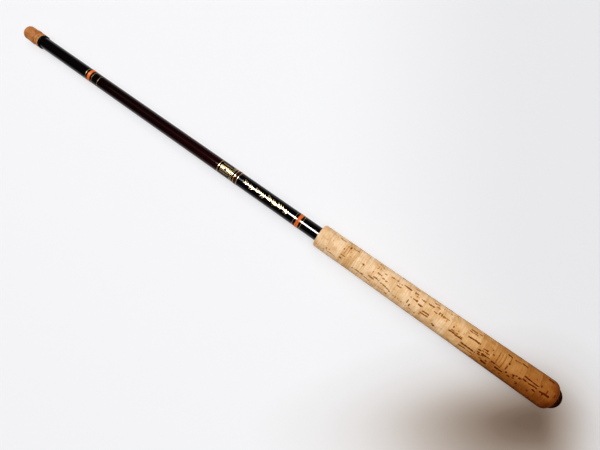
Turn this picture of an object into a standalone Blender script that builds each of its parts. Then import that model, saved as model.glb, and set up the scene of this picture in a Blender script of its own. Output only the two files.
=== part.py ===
"""A telescopic mountain-stream rod, closed, with its mouth plug in.

The rod lies along X on a flat surface, its tip towards +X, and z = 0 is that surface.
Seven tubes slide out of each other. The butt tube carries the cork grip, a screw cap
closes its rear end, and a turned plug closes its mouth.
"""
import math

import bmesh
import bpy
from mathutils import Matrix, Vector

MM = 0.001

# Every turned piece has this many sides, with flats on top and at the bottom, so that
# nested tubes keep an even gap. A stated radius is the one across the flats.
SIDES = 24

# The grip: cork rings on the butt tube, the first one cut short and the last one longer
RING_COUNT = 17
RING_LENGTH = 15.0 * MM
FIRST_RING_LENGTH = 13.3 * MM
LAST_RING_LENGTH = 19.3 * MM
GRIP_LENGTH = FIRST_RING_LENGTH + (RING_COUNT - 2) * RING_LENGTH + LAST_RING_LENGTH
GRIP_FRONT_RADIUS = 12.1 * MM
GRIP_REAR_RADIUS = 14.08 * MM
GRIP_SWELL = 1.45
GRIP_FULL_AT = 243.0 * MM
GRIP_SHOULDER = 2.3 * MM
GRIP_END_ARC = 7.4 * MM
GRIP_END_TURN = math.radians(58)
RING_GLUE_GAP = 0.1 * MM
ARC_STEPS = 4

# The butt tube, outside and in
SHOWN_LENGTH = 383.4 * MM
BUTT_FRONT_RADIUS = 6.55 * MM
BUTT_GRIP_RADIUS = 7.35 * MM
BUTT_BORE_AT_MOUTH = 5.75 * MM
BUTT_BORE_TAPER = 0.0012

# The ring that binds the mouth, with a lip over the tube's end
MOUTH_RING_LENGTH = 2.4 * MM
MOUTH_RING_RADIUS = 7.75 * MM
MOUTH_RING_LIP = 0.6 * MM
MOUTH_RING_EDGE = 0.5 * MM
EDGE_STEPS = 3

# The plug's head: how far each place stands ahead of the mouth, and its radius. It has a
# collar, a groove, a node that swells like bamboo, and a straight stretch to its end.
PLUG_SHOWN = 23.2 * MM
PLUG_COLLAR = (3.7 * MM, 7.8 * MM)
PLUG_GROOVE = (5.9 * MM, 7.0 * MM)
PLUG_NODE = (9.0 * MM, 8.1 * MM)
PLUG_HEAD = (15.3 * MM, 7.58 * MM)
PLUG_BLEND_STEPS = 4
PLUG_EDGE = 0.3 * MM
PLUG_END_ARC = 3.1 * MM
PLUG_END_STEPS = 5

# The plug's stem, hollow for the tip's end, and the sleeve on it that grips the mouth
PLUG_STEM_LENGTH = 20.0 * MM
PLUG_STEM_RADIUS = 4.6 * MM
PLUG_BORE_RADIUS = 2.6 * MM
PLUG_BORE_DEPTH = 17.0 * MM
SLEEVE_LENGTH = 15.0 * MM
SLEEVE_RADIUS = 5.68 * MM
SLEEVE_SETBACK = 2.0 * MM
SLEEVE_LEAD_LENGTH = 1.5 * MM
SLEEVE_LEAD_DROP = 0.4 * MM

# The threaded brass ferrule in the grip's rear end
FERRULE_LENGTH = 17.5 * MM
FERRULE_RADIUS = 8.95 * MM
FERRULE_BORE = 7.15 * MM
THREADED_DEPTH = 10.0 * MM
THREAD_RELIEF = 0.4 * MM

# The thread: radii at its crest and root on the screw, and the room that its nut adds
THREAD_PITCH = 1.8 * MM
THREAD_OUTER = 7.55 * MM
THREAD_INNER = 6.95 * MM
THREAD_DEPTH = THREAD_OUTER - THREAD_INNER
THREAD_CREST = 0.5 * MM
THREAD_FLANK = 0.4 * MM
THREAD_RADIAL_ROOM = 0.2 * MM
THREAD_FLANK_ROOM = 0.12 * MM
THREAD_RUN_IN = 0.5 * MM
CUT_PAST = 3.0 * MM

# The screw cap, its seal, and the pad that the closed tubes stand on
CAP_RADIUS = 10.54 * MM
CAP_HEIGHT = 7.4 * MM
CAP_DOME_STEPS = 7
CAP_STEM_LENGTH = 7.2 * MM
SEAL_RECESS_DEPTH = 1.0 * MM
SEAL_RADIUS = 8.35 * MM
SEAL_THICKNESS = 0.9 * MM
SEAL_SIDES = 8
CUSHION_RADIUS = 6.6 * MM
CUSHION_THICKNESS = 2.0 * MM
CUSHION_SOCKET = 0.6 * MM

# The inner tubes, from the second section to the one before the tip: wall, how much of
# the tube stays in the one around it when drawn out, and how far its end stands behind
# the mouth when the rod is closed
INNER_TUBES = (
    (0.50 * MM, 60 * MM, 34 * MM),
    (0.45 * MM, 55 * MM, 31 * MM),
    (0.40 * MM, 50 * MM, 28 * MM),
    (0.35 * MM, 45 * MM, 25 * MM),
    (0.30 * MM, 42 * MM, 22.5 * MM),
)
TUBE_TAPER = 0.0009
JAM_GAP = 0.04 * MM
WHIPPING_LENGTH = 9 * MM
WHIPPING_THICKNESS = 0.25 * MM
WHIPPING_SETBACK = 1 * MM

# The tip: a solid taper that ends in a small brass socket for the line
TIP_OVERLAP = 40 * MM
TIP_END_RADIUS = 0.45 * MM
TIP_BEHIND_MOUTH = 14 * MM
SOCKET_RADIUS = 0.85 * MM
SOCKET_BORE = 0.55 * MM
SOCKET_LENGTH = 8 * MM
SOCKET_HOLLOW = 2 * MM

# Room left between touching pieces
FACE_GAP = 0.2 * MM
GLUE_GAP = 0.05 * MM

# Places along the rod, worked out from the lengths above
CLOSED_LENGTH = CAP_HEIGHT + GRIP_LENGTH + SHOWN_LENGTH + PLUG_SHOWN
CAP_END_X = -CLOSED_LENGTH / 2
GRIP_REAR_X = CAP_END_X + CAP_HEIGHT
GRIP_FRONT_X = GRIP_REAR_X + GRIP_LENGTH
MOUTH_X = GRIP_FRONT_X + SHOWN_LENGTH
PLUG_END_X = MOUTH_X + PLUG_SHOWN
FERRULE_STEP_X = GRIP_REAR_X + THREADED_DEPTH + THREAD_RELIEF
BUTT_TUBE_REAR_X = FERRULE_STEP_X + FACE_GAP
CAP_FACE_X = GRIP_REAR_X - FACE_GAP / 2
CAP_STEM_END_X = CAP_FACE_X + CAP_STEM_LENGTH
CUSHION_REAR_X = CAP_STEM_END_X - CUSHION_SOCKET + FACE_GAP / 2
CUSHION_FRONT_X = CUSHION_REAR_X + CUSHION_THICKNESS
TUBE_BASE_X = CUSHION_FRONT_X + FACE_GAP
AXIS_Z = GRIP_REAR_RADIUS


def clear_scene():
    for old in list(bpy.data.objects):
        bpy.data.objects.remove(old, do_unlink=True)


def material(name, colour, roughness, metallic=0.0):
    """A plain Principled finish."""
    made = bpy.data.materials.new(name)
    made.use_nodes = True
    shader = made.node_tree.nodes["Principled BSDF"]
    shader.inputs["Base Color"].default_value = (*colour, 1.0)
    shader.inputs["Roughness"].default_value = roughness
    shader.inputs["Metallic"].default_value = metallic
    return made


def body_frame(name, x):
    """An empty on the rod's axis that carries the pieces of one moving body."""
    empty = bpy.data.objects.new(name, None)
    empty.empty_display_size = 0.02
    empty.location = (x, 0.0, AXIS_Z)
    bpy.context.scene.collection.objects.link(empty)
    return empty


def link_mesh(name, bm, body):
    """Link a mesh drawn in rod coordinates, x along the rod and 0 on its axis."""
    mesh = bpy.data.meshes.new(name)
    bm.transform(Matrix.Translation((-body.location.x, 0.0, 0.0)))
    bmesh.ops.recalc_face_normals(bm, faces=bm.faces)
    bm.to_mesh(mesh)
    bm.free()
    made = bpy.data.objects.new(name, mesh)
    made.parent = body
    bpy.context.scene.collection.objects.link(made)
    return made


def add_object(name, bm, finish, body):
    """A piece of the rod, with its finish, shaded smooth between its sharp edges."""
    made = link_mesh(name, bm, body)
    made.data.materials.append(finish)
    made.data.shade_smooth()
    made.data.set_sharp_from_angle(angle=math.radians(30))
    return made


def helper_object(name, bm, body):
    """A shape that only cuts or joins another one."""
    made = link_mesh(name, bm, body)
    made.hide_render = True
    made.display_type = "WIRE"
    return made


def spin_profile(points, closed, sides=SIDES):
    """Spin (x, radius) points about the rod's axis.

    A closed profile makes a ring or a tube. An open one starts and ends on the axis, or
    is shut there by flat faces.
    """
    bm = bmesh.new()
    half = math.pi / sides
    to_corner = 1 / math.cos(half)
    start = Vector((0.0, math.sin(half), math.cos(half))) * to_corner
    profile = [bm.verts.new((x, r * start.y, r * start.z)) for x, r in points]
    pairs = list(zip(profile, profile[1:]))
    if closed:
        pairs.append((profile[-1], profile[0]))
    edges = [bm.edges.new(pair) for pair in pairs]
    bmesh.ops.spin(
        bm, geom=profile + edges, cent=(0, 0, 0), axis=(1, 0, 0),
        angle=2 * math.pi, steps=sides, use_merge=True,
    )
    bmesh.ops.remove_doubles(bm, verts=bm.verts, dist=1e-7)
    if not closed:
        rims = [edge for edge in bm.edges if edge.is_boundary]
        if rims:
            bmesh.ops.holes_fill(bm, edges=rims, sides=0)
    return bm


def arc_points(cx, cr, radius, first, last, steps):
    """Points on an arc in the profile plane, by angle from +x towards +radius."""
    turn = (last - first) / steps
    angles = [first + turn * i for i in range(steps + 1)]
    return [(cx + radius * math.cos(a), cr + radius * math.sin(a)) for a in angles]


def blend_points(places, steps):
    """Points on a smooth wave through (x, radius) places, level at each of them."""
    points = [places[0]]
    for (x0, r0), (x1, r1) in zip(places, places[1:]):
        for step in range(1, steps + 1):
            share = step / steps
            ease = (1 - math.cos(math.pi * share)) / 2
            points.append((x0 + (x1 - x0) * share, r0 + (r1 - r0) * ease))
    return points


def add_boolean(made, operation, other, solver="EXACT"):
    boolean = made.modifiers.new(operation.title(), "BOOLEAN")
    boolean.operation = operation
    boolean.object = other
    boolean.solver = solver


def butt_radius(x):
    """The butt tube's outside, one straight taper from the mouth to its rear end."""
    slope = (BUTT_GRIP_RADIUS - BUTT_FRONT_RADIUS) / SHOWN_LENGTH
    return BUTT_FRONT_RADIUS + slope * (MOUTH_X - x)


def butt_bore(x):
    return BUTT_BORE_AT_MOUTH + BUTT_BORE_TAPER * (MOUTH_X - x)


def make_butt_tube(finish, body):
    front = MOUTH_X - MOUTH_RING_LIP - GLUE_GAP
    rear = BUTT_TUBE_REAR_X
    outline = [
        (rear, butt_radius(rear)), (GRIP_FRONT_X, butt_radius(GRIP_FRONT_X)),
        (front, butt_radius(front)), (front, butt_bore(front)), (rear, butt_bore(rear)),
    ]
    add_object("butt_tube", spin_profile(outline, closed=True), finish, body)


def make_mouth_ring(finish, body):
    rear = MOUTH_X - MOUTH_RING_LENGTH
    inner = butt_radius(rear) + GLUE_GAP
    lip = BUTT_BORE_AT_MOUTH + GLUE_GAP
    edge = MOUTH_RING_EDGE
    high = MOUTH_RING_RADIUS - edge
    quarter = math.pi / 2
    outline = arc_points(rear + edge, high, edge, 2 * quarter, quarter, EDGE_STEPS)
    outline += arc_points(MOUTH_X - edge, high, edge, quarter, 0, EDGE_STEPS)
    outline += [(MOUTH_X, lip), (MOUTH_X - MOUTH_RING_LIP, lip)]
    outline += [(MOUTH_X - MOUTH_RING_LIP, inner), (rear, inner)]
    add_object("mouth_ring", spin_profile(outline, closed=True), finish, body)


def grip_radius(from_front):
    """The grip swells towards the butt, slowly at first, and is full near its end."""
    share = min(from_front / GRIP_FULL_AT, 1.0)
    return GRIP_FRONT_RADIUS + (GRIP_REAR_RADIUS - GRIP_FRONT_RADIUS) * share ** GRIP_SWELL


def make_cork_ring(index, front, rear, finish, body):
    """One ring: front and rear are its distances from the grip's front face."""
    first = index == 1
    last = index == RING_COUNT
    near = GRIP_FRONT_X - front - (0 if first else RING_GLUE_GAP / 2)
    far = GRIP_FRONT_X - rear + (0 if last else RING_GLUE_GAP / 2)
    if first:
        full = grip_radius(front + GRIP_SHOULDER)
        outline = arc_points(
            near - GRIP_SHOULDER, full - GRIP_SHOULDER, GRIP_SHOULDER, 0, math.pi / 2, ARC_STEPS)
    else:
        outline = [(near, grip_radius(front))]
    if last:
        # The rod rests on the level stretch that starts where the swell is full
        outline.append((GRIP_FRONT_X - GRIP_FULL_AT, GRIP_REAR_RADIUS))
        reach = GRIP_END_ARC * math.sin(GRIP_END_TURN)
        outline += arc_points(
            far + reach, GRIP_REAR_RADIUS - GRIP_END_ARC, GRIP_END_ARC,
            math.pi / 2, math.pi / 2 + GRIP_END_TURN, ARC_STEPS)
        over_ferrule = FERRULE_RADIUS + GLUE_GAP
        step_x = GRIP_REAR_X + FERRULE_LENGTH + GLUE_GAP
        outline += [(far, over_ferrule), (step_x, over_ferrule)]
        outline += [(step_x, butt_radius(step_x) + GLUE_GAP)]
    else:
        outline += [(far, grip_radius(rear)), (far, butt_radius(far) + GLUE_GAP)]
    outline += [(near, butt_radius(near) + GLUE_GAP)]
    add_object(f"cork_ring_{index:02d}", spin_profile(outline, closed=True), finish, body)


def make_grip(finish, body):
    front = 0.0
    for index in range(1, RING_COUNT + 1):
        length = RING_LENGTH
        if index == 1:
            length = FIRST_RING_LENGTH
        if index == RING_COUNT:
            length = LAST_RING_LENGTH
        make_cork_ring(index, front, front + length, finish, body)
        front += length


def thread_body(rear, length, room=0.0):
    """A closed helical bar about the axis, longer than asked at both ends.

    Rows follow the right-hand helix and columns go round it. The thread is in the same
    place for every bar, so a screw and its nut match. Room makes the bar that cuts the
    nut: it is fatter, and its crests are wider.
    """
    outer = THREAD_OUTER + room
    inner = THREAD_INNER + room
    crest = THREAD_CREST + (2 * THREAD_FLANK_ROOM if room else 0.0)
    flank_end = crest + THREAD_FLANK
    root_end = THREAD_PITCH - THREAD_FLANK
    one_turn = ((0.0, outer), (crest, outer), (flank_end, inner), (root_end, inner))
    start = rear - THREAD_PITCH - crest / 2
    turns = math.ceil(length / THREAD_PITCH) + 2
    rows = [(start + turn * THREAD_PITCH + x, r) for turn in range(turns) for x, r in one_turn]
    per_turn = len(one_turn)
    # The last turn's rows only finish the seam, where a row meets the one a turn on
    whole_rows = len(rows) - per_turn

    bm = bmesh.new()
    grid = []
    for row, (x, r) in enumerate(rows[:whole_rows + per_turn]):
        ring = []
        for column in range(SIDES if row < whole_rows else 1):
            angle = 2 * math.pi * (column + 0.5) / SIDES
            along = x + THREAD_PITCH * column / SIDES
            ring.append(bm.verts.new((along, -r * math.sin(angle), r * math.cos(angle))))
        grid.append(ring)
    for row in range(whole_rows - 1):
        here, ahead = grid[row], grid[row + 1]
        for column in range(SIDES - 1):
            bm.faces.new((here[column], here[column + 1], ahead[column + 1], ahead[column]))
        bm.faces.new((here[-1], grid[row + per_turn][0], grid[row + per_turn + 1][0], ahead[-1]))

    # Each open end is shut by a fan of faces to one point on the axis
    middle = (rows[0][0] + rows[-1][0]) / 2
    rims = [edge for edge in bm.edges if edge.is_boundary]
    low_rim = [edge for edge in rims if edge.verts[0].co.x < middle]
    high_rim = [edge for edge in rims if edge.verts[0].co.x >= middle]
    low_hub = bm.verts.new((rows[0][0] - THREAD_PITCH, 0.0, 0.0))
    high_hub = bm.verts.new((rows[-1][0] + THREAD_PITCH, 0.0, 0.0))
    for rim, hub in ((low_rim, low_hub), (high_rim, high_hub)):
        for edge in rim:
            bm.faces.new((edge.verts[0], edge.verts[1], hub))
    return bm


def make_ferrule(finish, body):
    """A brass sleeve over the tube's rear end, threaded inside for the cap."""
    rear = GRIP_REAR_X
    front = rear + FERRULE_LENGTH
    socket = butt_radius(BUTT_TUBE_REAR_X) + GLUE_GAP
    outline = [
        (rear, FERRULE_RADIUS), (front, FERRULE_RADIUS), (front, socket),
        (FERRULE_STEP_X, socket), (FERRULE_STEP_X, FERRULE_BORE), (rear, FERRULE_BORE),
    ]
    ferrule = add_object("butt_ferrule", spin_profile(outline, closed=True), finish, body)
    cutter = helper_object(
        "ferrule_thread_cutter", thread_body(rear, THREADED_DEPTH, THREAD_RADIAL_ROOM), body)
    stretch = [
        (rear - CUT_PAST, 0.0), (rear - CUT_PAST, FERRULE_RADIUS),
        (rear + THREADED_DEPTH, FERRULE_RADIUS), (rear + THREADED_DEPTH, 0.0),
    ]
    stretch = helper_object("ferrule_thread_length", spin_profile(stretch, closed=False), body)
    add_boolean(cutter, "INTERSECT", stretch)
    # The exact solver drops the whole ferrule here
    add_boolean(ferrule, "DIFFERENCE", cutter, solver="MANIFOLD")


def make_cap(finish, body):
    """The domed cap, with a recess for its seal and a threaded stem."""
    dome = (CAP_RADIUS ** 2 + CAP_HEIGHT ** 2) / (2 * CAP_HEIGHT)
    spread = math.asin(CAP_RADIUS / dome)
    outline = []
    for step in range(CAP_DOME_STEPS):
        angle = spread * step / CAP_DOME_STEPS
        outline.append((CAP_END_X + dome * (1 - math.cos(angle)), dome * math.sin(angle)))
    recess_x = CAP_FACE_X - SEAL_RECESS_DEPTH
    outline += [(CAP_FACE_X, CAP_RADIUS), (CAP_FACE_X, FERRULE_RADIUS)]
    outline += [(recess_x, FERRULE_RADIUS), (recess_x, THREAD_INNER + THREAD_RADIAL_ROOM)]
    outline += [(CAP_FACE_X, THREAD_INNER), (CAP_FACE_X, 0.0)]
    cap = add_object("butt_cap", spin_profile(outline, closed=False), finish, body)

    # The thread fades in by the face and out by the stem's end, which has a shallow socket
    over = THREAD_OUTER + THREAD_DEPTH
    under = THREAD_INNER - THREAD_DEPTH
    half_deep = THREAD_INNER - THREAD_DEPTH / 2
    run_in = CAP_FACE_X + THREAD_RUN_IN
    socket = CUSHION_RADIUS - THREAD_DEPTH
    socket_x = CAP_STEM_END_X - CUSHION_SOCKET
    outline = [
        (CAP_FACE_X - THREAD_RUN_IN, 0.0), (CAP_FACE_X - THREAD_RUN_IN, under),
        (run_in, half_deep), (run_in + THREAD_DEPTH, over),
        (CAP_STEM_END_X - THREAD_DEPTH, over), (CAP_STEM_END_X, half_deep),
        (CAP_STEM_END_X, socket), (socket_x, socket), (socket_x, 0.0),
    ]
    stretch = helper_object("cap_stem_length", spin_profile(outline, closed=False), body)
    stem = helper_object("cap_thread", thread_body(GRIP_REAR_X, CAP_STEM_LENGTH), body)
    add_boolean(stem, "INTERSECT", stretch)
    # The exact solver leaves open edges between the dome and the thread
    add_boolean(cap, "UNION", stem, solver="MANIFOLD")


def make_cushion(finish, body):
    """The pad on the cap's stem that the closed tubes stand on."""
    in_socket = CUSHION_RADIUS - THREAD_DEPTH - GLUE_GAP
    step_x = CAP_STEM_END_X + GLUE_GAP
    outline = [
        (CUSHION_REAR_X, 0.0), (CUSHION_REAR_X, in_socket),
        (step_x, in_socket), (step_x, CUSHION_RADIUS),
        (CUSHION_FRONT_X, CUSHION_RADIUS), (CUSHION_FRONT_X, 0.0),
    ]
    add_object("cap_cushion", spin_profile(outline, closed=False), finish, body)


def make_seal(finish, body):
    """A round seal between the cap and the ferrule."""
    half = SEAL_THICKNESS / 2
    centre_x = GRIP_REAR_X - GLUE_GAP - half
    outline = arc_points(centre_x, SEAL_RADIUS, half, 0, 2 * math.pi, SEAL_SIDES)[:-1]
    add_object("cap_seal", spin_profile(outline, closed=True), finish, body)


def make_inner_tube(number, base_radius, wall, mouth, finishes, body):
    """One sliding tube and the whipping that binds its mouth. Returns its bore there."""
    def outside(x):
        return base_radius - TUBE_TAPER * (x - TUBE_BASE_X)
    outline = [
        (TUBE_BASE_X, outside(TUBE_BASE_X)), (mouth, outside(mouth)),
        (mouth, outside(mouth) - wall), (TUBE_BASE_X, outside(TUBE_BASE_X) - wall),
    ]
    name = f"section_{number}"
    add_object(f"{name}_tube", spin_profile(outline, closed=True), finishes["tube"], body)
    far = mouth - WHIPPING_SETBACK
    near = far - WHIPPING_LENGTH
    under = GLUE_GAP / 2
    over = under + WHIPPING_THICKNESS
    outline = [
        (near, outside(near) + under), (near, outside(near) + over),
        (far, outside(far) + over), (far, outside(far) + under),
    ]
    add_object(f"{name}_whipping", spin_profile(outline, closed=True), finishes["whipping"], body)
    return outside(mouth) - wall


def make_tip(base_radius, finishes, body):
    """The solid tip and the brass socket on its end."""
    end = MOUTH_X - TIP_BEHIND_MOUTH
    seat = end - SOCKET_LENGTH
    solid_end = end - SOCKET_HOLLOW
    outline = [
        (TUBE_BASE_X, 0.0), (TUBE_BASE_X, base_radius), (seat, TIP_END_RADIUS),
        (solid_end, TIP_END_RADIUS), (solid_end, 0.0),
    ]
    add_object("tip_section", spin_profile(outline, closed=False), finishes["tube"], body)
    outline = [(seat, SOCKET_BORE), (seat, SOCKET_RADIUS), (end, SOCKET_RADIUS), (end, SOCKET_BORE)]
    add_object("tip_socket", spin_profile(outline, closed=True), finishes["brass"], body)


def make_plug(finishes, body):
    """The turned plug: hollow stem, collar, groove, swelling node and rounded head."""
    stem_end = MOUTH_X - PLUG_STEM_LENGTH
    bore_end = stem_end + PLUG_BORE_DEPTH
    seat = MOUTH_X + FACE_GAP
    collar_radius = PLUG_COLLAR[1]
    outline = [
        (bore_end, 0.0), (bore_end, PLUG_BORE_RADIUS), (stem_end, PLUG_BORE_RADIUS),
        (stem_end, PLUG_STEM_RADIUS), (seat, PLUG_STEM_RADIUS),
        (seat, collar_radius - PLUG_EDGE), (seat + PLUG_EDGE, collar_radius),
    ]
    places = (PLUG_COLLAR, PLUG_GROOVE, PLUG_NODE, PLUG_HEAD)
    outline += blend_points([(MOUTH_X + ahead, r) for ahead, r in places], PLUG_BLEND_STEPS)
    outline += arc_points(
        PLUG_END_X - PLUG_END_ARC, PLUG_HEAD[1] - PLUG_END_ARC, PLUG_END_ARC,
        math.pi / 2, 0, PLUG_END_STEPS)
    outline.append((PLUG_END_X, 0.0))
    add_object("mouth_plug", spin_profile(outline, closed=False), finishes["plug"], body)


def make_plug_sleeve(finish, body):
    """The soft sleeve on the plug's stem, tapered where it enters the mouth."""
    far = MOUTH_X - SLEEVE_SETBACK
    near = far - SLEEVE_LENGTH
    inner = PLUG_STEM_RADIUS + GLUE_GAP
    outline = [
        (near, inner), (near, SLEEVE_RADIUS - SLEEVE_LEAD_DROP),
        (near + SLEEVE_LEAD_LENGTH, SLEEVE_RADIUS), (far, SLEEVE_RADIUS), (far, inner),
    ]
    add_object("plug_sleeve", spin_profile(outline, closed=True), finish, body)


def main():
    clear_scene()
    finishes = {
        "tube": material("black_lacquer", (0.012, 0.008, 0.009), 0.12),
        "ring": material("mouth_ring_black", (0.010, 0.010, 0.011), 0.25),
        "whipping": material("red_whipping", (0.20, 0.02, 0.015), 0.3),
        "cork": material("cork", (0.50, 0.29, 0.13), 0.7),
        "cap": material("dark_lacquer_cap", (0.035, 0.012, 0.009), 0.15),
        "brass": material("brass", (0.62, 0.45, 0.18), 0.3, metallic=1.0),
        "rubber": material("black_rubber", (0.02, 0.02, 0.02), 0.7),
        "plug": material("plug_wood", (0.48, 0.19, 0.06), 0.3),
    }
    handle = body_frame("handle_body", GRIP_FRONT_X)
    make_butt_tube(finishes["tube"], handle)
    make_mouth_ring(finishes["ring"], handle)
    make_grip(finishes["cork"], handle)
    make_ferrule(finishes["brass"], handle)

    make_seal(finishes["rubber"], body_frame("seal_body", GRIP_REAR_X))
    cap = body_frame("cap_body", GRIP_REAR_X)
    make_cap(finishes["cap"], cap)
    make_cushion(finishes["rubber"], cap)

    outer_bore = BUTT_BORE_AT_MOUTH
    for number, (wall, overlap, behind) in enumerate(INNER_TUBES, start=2):
        base_radius = outer_bore - JAM_GAP + TUBE_TAPER * overlap
        body = body_frame(f"section_{number}_body", TUBE_BASE_X)
        outer_bore = make_inner_tube(number, base_radius, wall, MOUTH_X - behind, finishes, body)
    tip_base_radius = outer_bore - JAM_GAP + TUBE_TAPER * TIP_OVERLAP
    make_tip(tip_base_radius, finishes, body_frame("tip_body", TUBE_BASE_X))

    plug = body_frame("plug_body", MOUTH_X)
    make_plug(finishes, plug)
    make_plug_sleeve(finishes["rubber"], plug)


main()
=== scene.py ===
"""Looks of a closed keiryu rod: lacquered butt tube, cork grip, screw cap, plug and inner tubes.

The rod lies along X with its mouth at +X. Places on the butt tube are given as distances
from its mouth towards the butt. Angles round the rod are from its top, positive towards +Y.
"""

import math

import bmesh
import bpy
import numpy as np
from bpy.props import FloatProperty, FloatVectorProperty, IntProperty, PointerProperty
from bpy.types import Operator, Panel, PropertyGroup
from mathutils import Matrix, Vector


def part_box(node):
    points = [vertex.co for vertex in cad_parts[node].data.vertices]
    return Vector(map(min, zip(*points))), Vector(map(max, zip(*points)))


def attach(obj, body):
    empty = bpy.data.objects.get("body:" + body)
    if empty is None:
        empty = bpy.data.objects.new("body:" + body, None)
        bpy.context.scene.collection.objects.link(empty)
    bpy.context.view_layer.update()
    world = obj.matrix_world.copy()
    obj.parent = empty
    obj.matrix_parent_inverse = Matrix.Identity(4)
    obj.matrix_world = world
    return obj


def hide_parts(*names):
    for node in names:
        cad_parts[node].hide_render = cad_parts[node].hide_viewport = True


bl_info = {
    "name": "Keiryu rod looks",
    "version": (1, 0, 0),
    "blender": (4, 5, 0),
    "location": "3D View > Sidebar > Keiryu rod",
    "description": "Makes the visible pieces and finishes of a closed telescopic keiryu rod",
    "category": "Add Mesh",
}

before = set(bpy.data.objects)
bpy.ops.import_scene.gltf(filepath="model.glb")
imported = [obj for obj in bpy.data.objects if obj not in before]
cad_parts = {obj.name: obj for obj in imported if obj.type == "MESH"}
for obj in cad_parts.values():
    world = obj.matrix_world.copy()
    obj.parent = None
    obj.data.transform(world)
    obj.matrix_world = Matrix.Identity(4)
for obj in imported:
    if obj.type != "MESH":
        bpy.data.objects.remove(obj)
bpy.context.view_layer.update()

MM = 0.001

# Places that the frame gives
AXIS_Z = (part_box("butt_tube")[0].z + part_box("butt_tube")[1].z) / 2
MOUTH_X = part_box("mouth_ring")[1].x
PLUG_END_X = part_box("mouth_plug")[1].x
CAP_END_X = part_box("butt_cap")[0].x
GRIP_FRONT_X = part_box("cork_ring_01")[1].x
GRIP_REAR_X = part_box("cork_ring_17")[0].x

# The butt tube and its mouth ring
SHOWN_LENGTH = MOUTH_X - GRIP_FRONT_X
MOUTH_RADIUS = 6.55 * MM
TUBE_AT_GRIP_RADIUS = 7.35 * MM
TUBE_SLOPE = (TUBE_AT_GRIP_RADIUS - MOUTH_RADIUS) / SHOWN_LENGTH
BORE_AT_MOUTH = 5.75 * MM
BORE_SLOPE = 0.0012
RING_EDGE = 0.5 * MM
RING_LIP = 0.6 * MM

# Where the butt tube's finish changes, from the mouth
MAROON_FROM = 89.4 * MM
MAROON_TO = 258.3 * MM
THIN_LINES = (72.2, 81.1, 89.4, 354.4, 363.3)
BROAD_LINES = (258.3, 278.7, 282.7)
FRONT_BAND = (74.7 * MM, 78.5 * MM)
RED_BAND = (279.0 * MM, 282.3 * MM)
REAR_BAND = (357.1 * MM, 361.0 * MM)
CREST_FROM = 260.6 * MM
CREST_TO = 272.7 * MM
LOZENGES_AT = 274.85 * MM
SPRIGS_FROM = 294.0 * MM
SPRIGS_TO = 344.5 * MM

# The cork grip: sizes from its front face
RING_COUNT = 17
GRIP_FRONT_RADIUS = 12.1 * MM
GRIP_REAR_RADIUS = 14.08 * MM
GRIP_SWELL = 1.45
GRIP_FULL_AT = 243.0 * MM
SHOULDER = 2.3 * MM
END_ARC = 7.4 * MM
END_TURN = math.radians(58)
RING_BREAK = 0.12 * MM
GLUE_GAP = 0.05 * MM
SHARP_ANGLE = math.radians(32)

# The thread between the cap and the ferrule
THREAD_PITCH = 1.8 * MM
THREAD_OUTER = 7.55 * MM
THREAD_INNER = 6.95 * MM
THREAD_CREST = 0.5 * MM
THREAD_FLANK = 0.4 * MM
THREAD_ROOM = 0.2 * MM
FLANK_ROOM = 0.12 * MM
THREADED_DEPTH = 10.0 * MM
THREAD_ROW = 0.15 * MM
CAD_SIDES = 24

# The turned plug: distance ahead of the mouth and radius of its collar, groove, node and head
PLUG_PLACES = (
    (3.7 * MM, 7.8 * MM), (5.9 * MM, 7.0 * MM), (9.0 * MM, 8.1 * MM), (15.3 * MM, 7.58 * MM))
PLUG_END_ARC = 3.1 * MM
PLUG_EDGE = 0.3 * MM
PLUG_SEAT = 0.2 * MM
STEM_LENGTH = 20.0 * MM
STEM_RADIUS = 4.6 * MM
STEM_BORE = 2.6 * MM
STEM_BORE_DEPTH = 17.0 * MM

# Walls of the inner tubes, from section 2 to section 6
INNER_WALLS = (0.50 * MM, 0.45 * MM, 0.40 * MM, 0.35 * MM, 0.30 * MM)
INNER_TAPER = 0.0009

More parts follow.
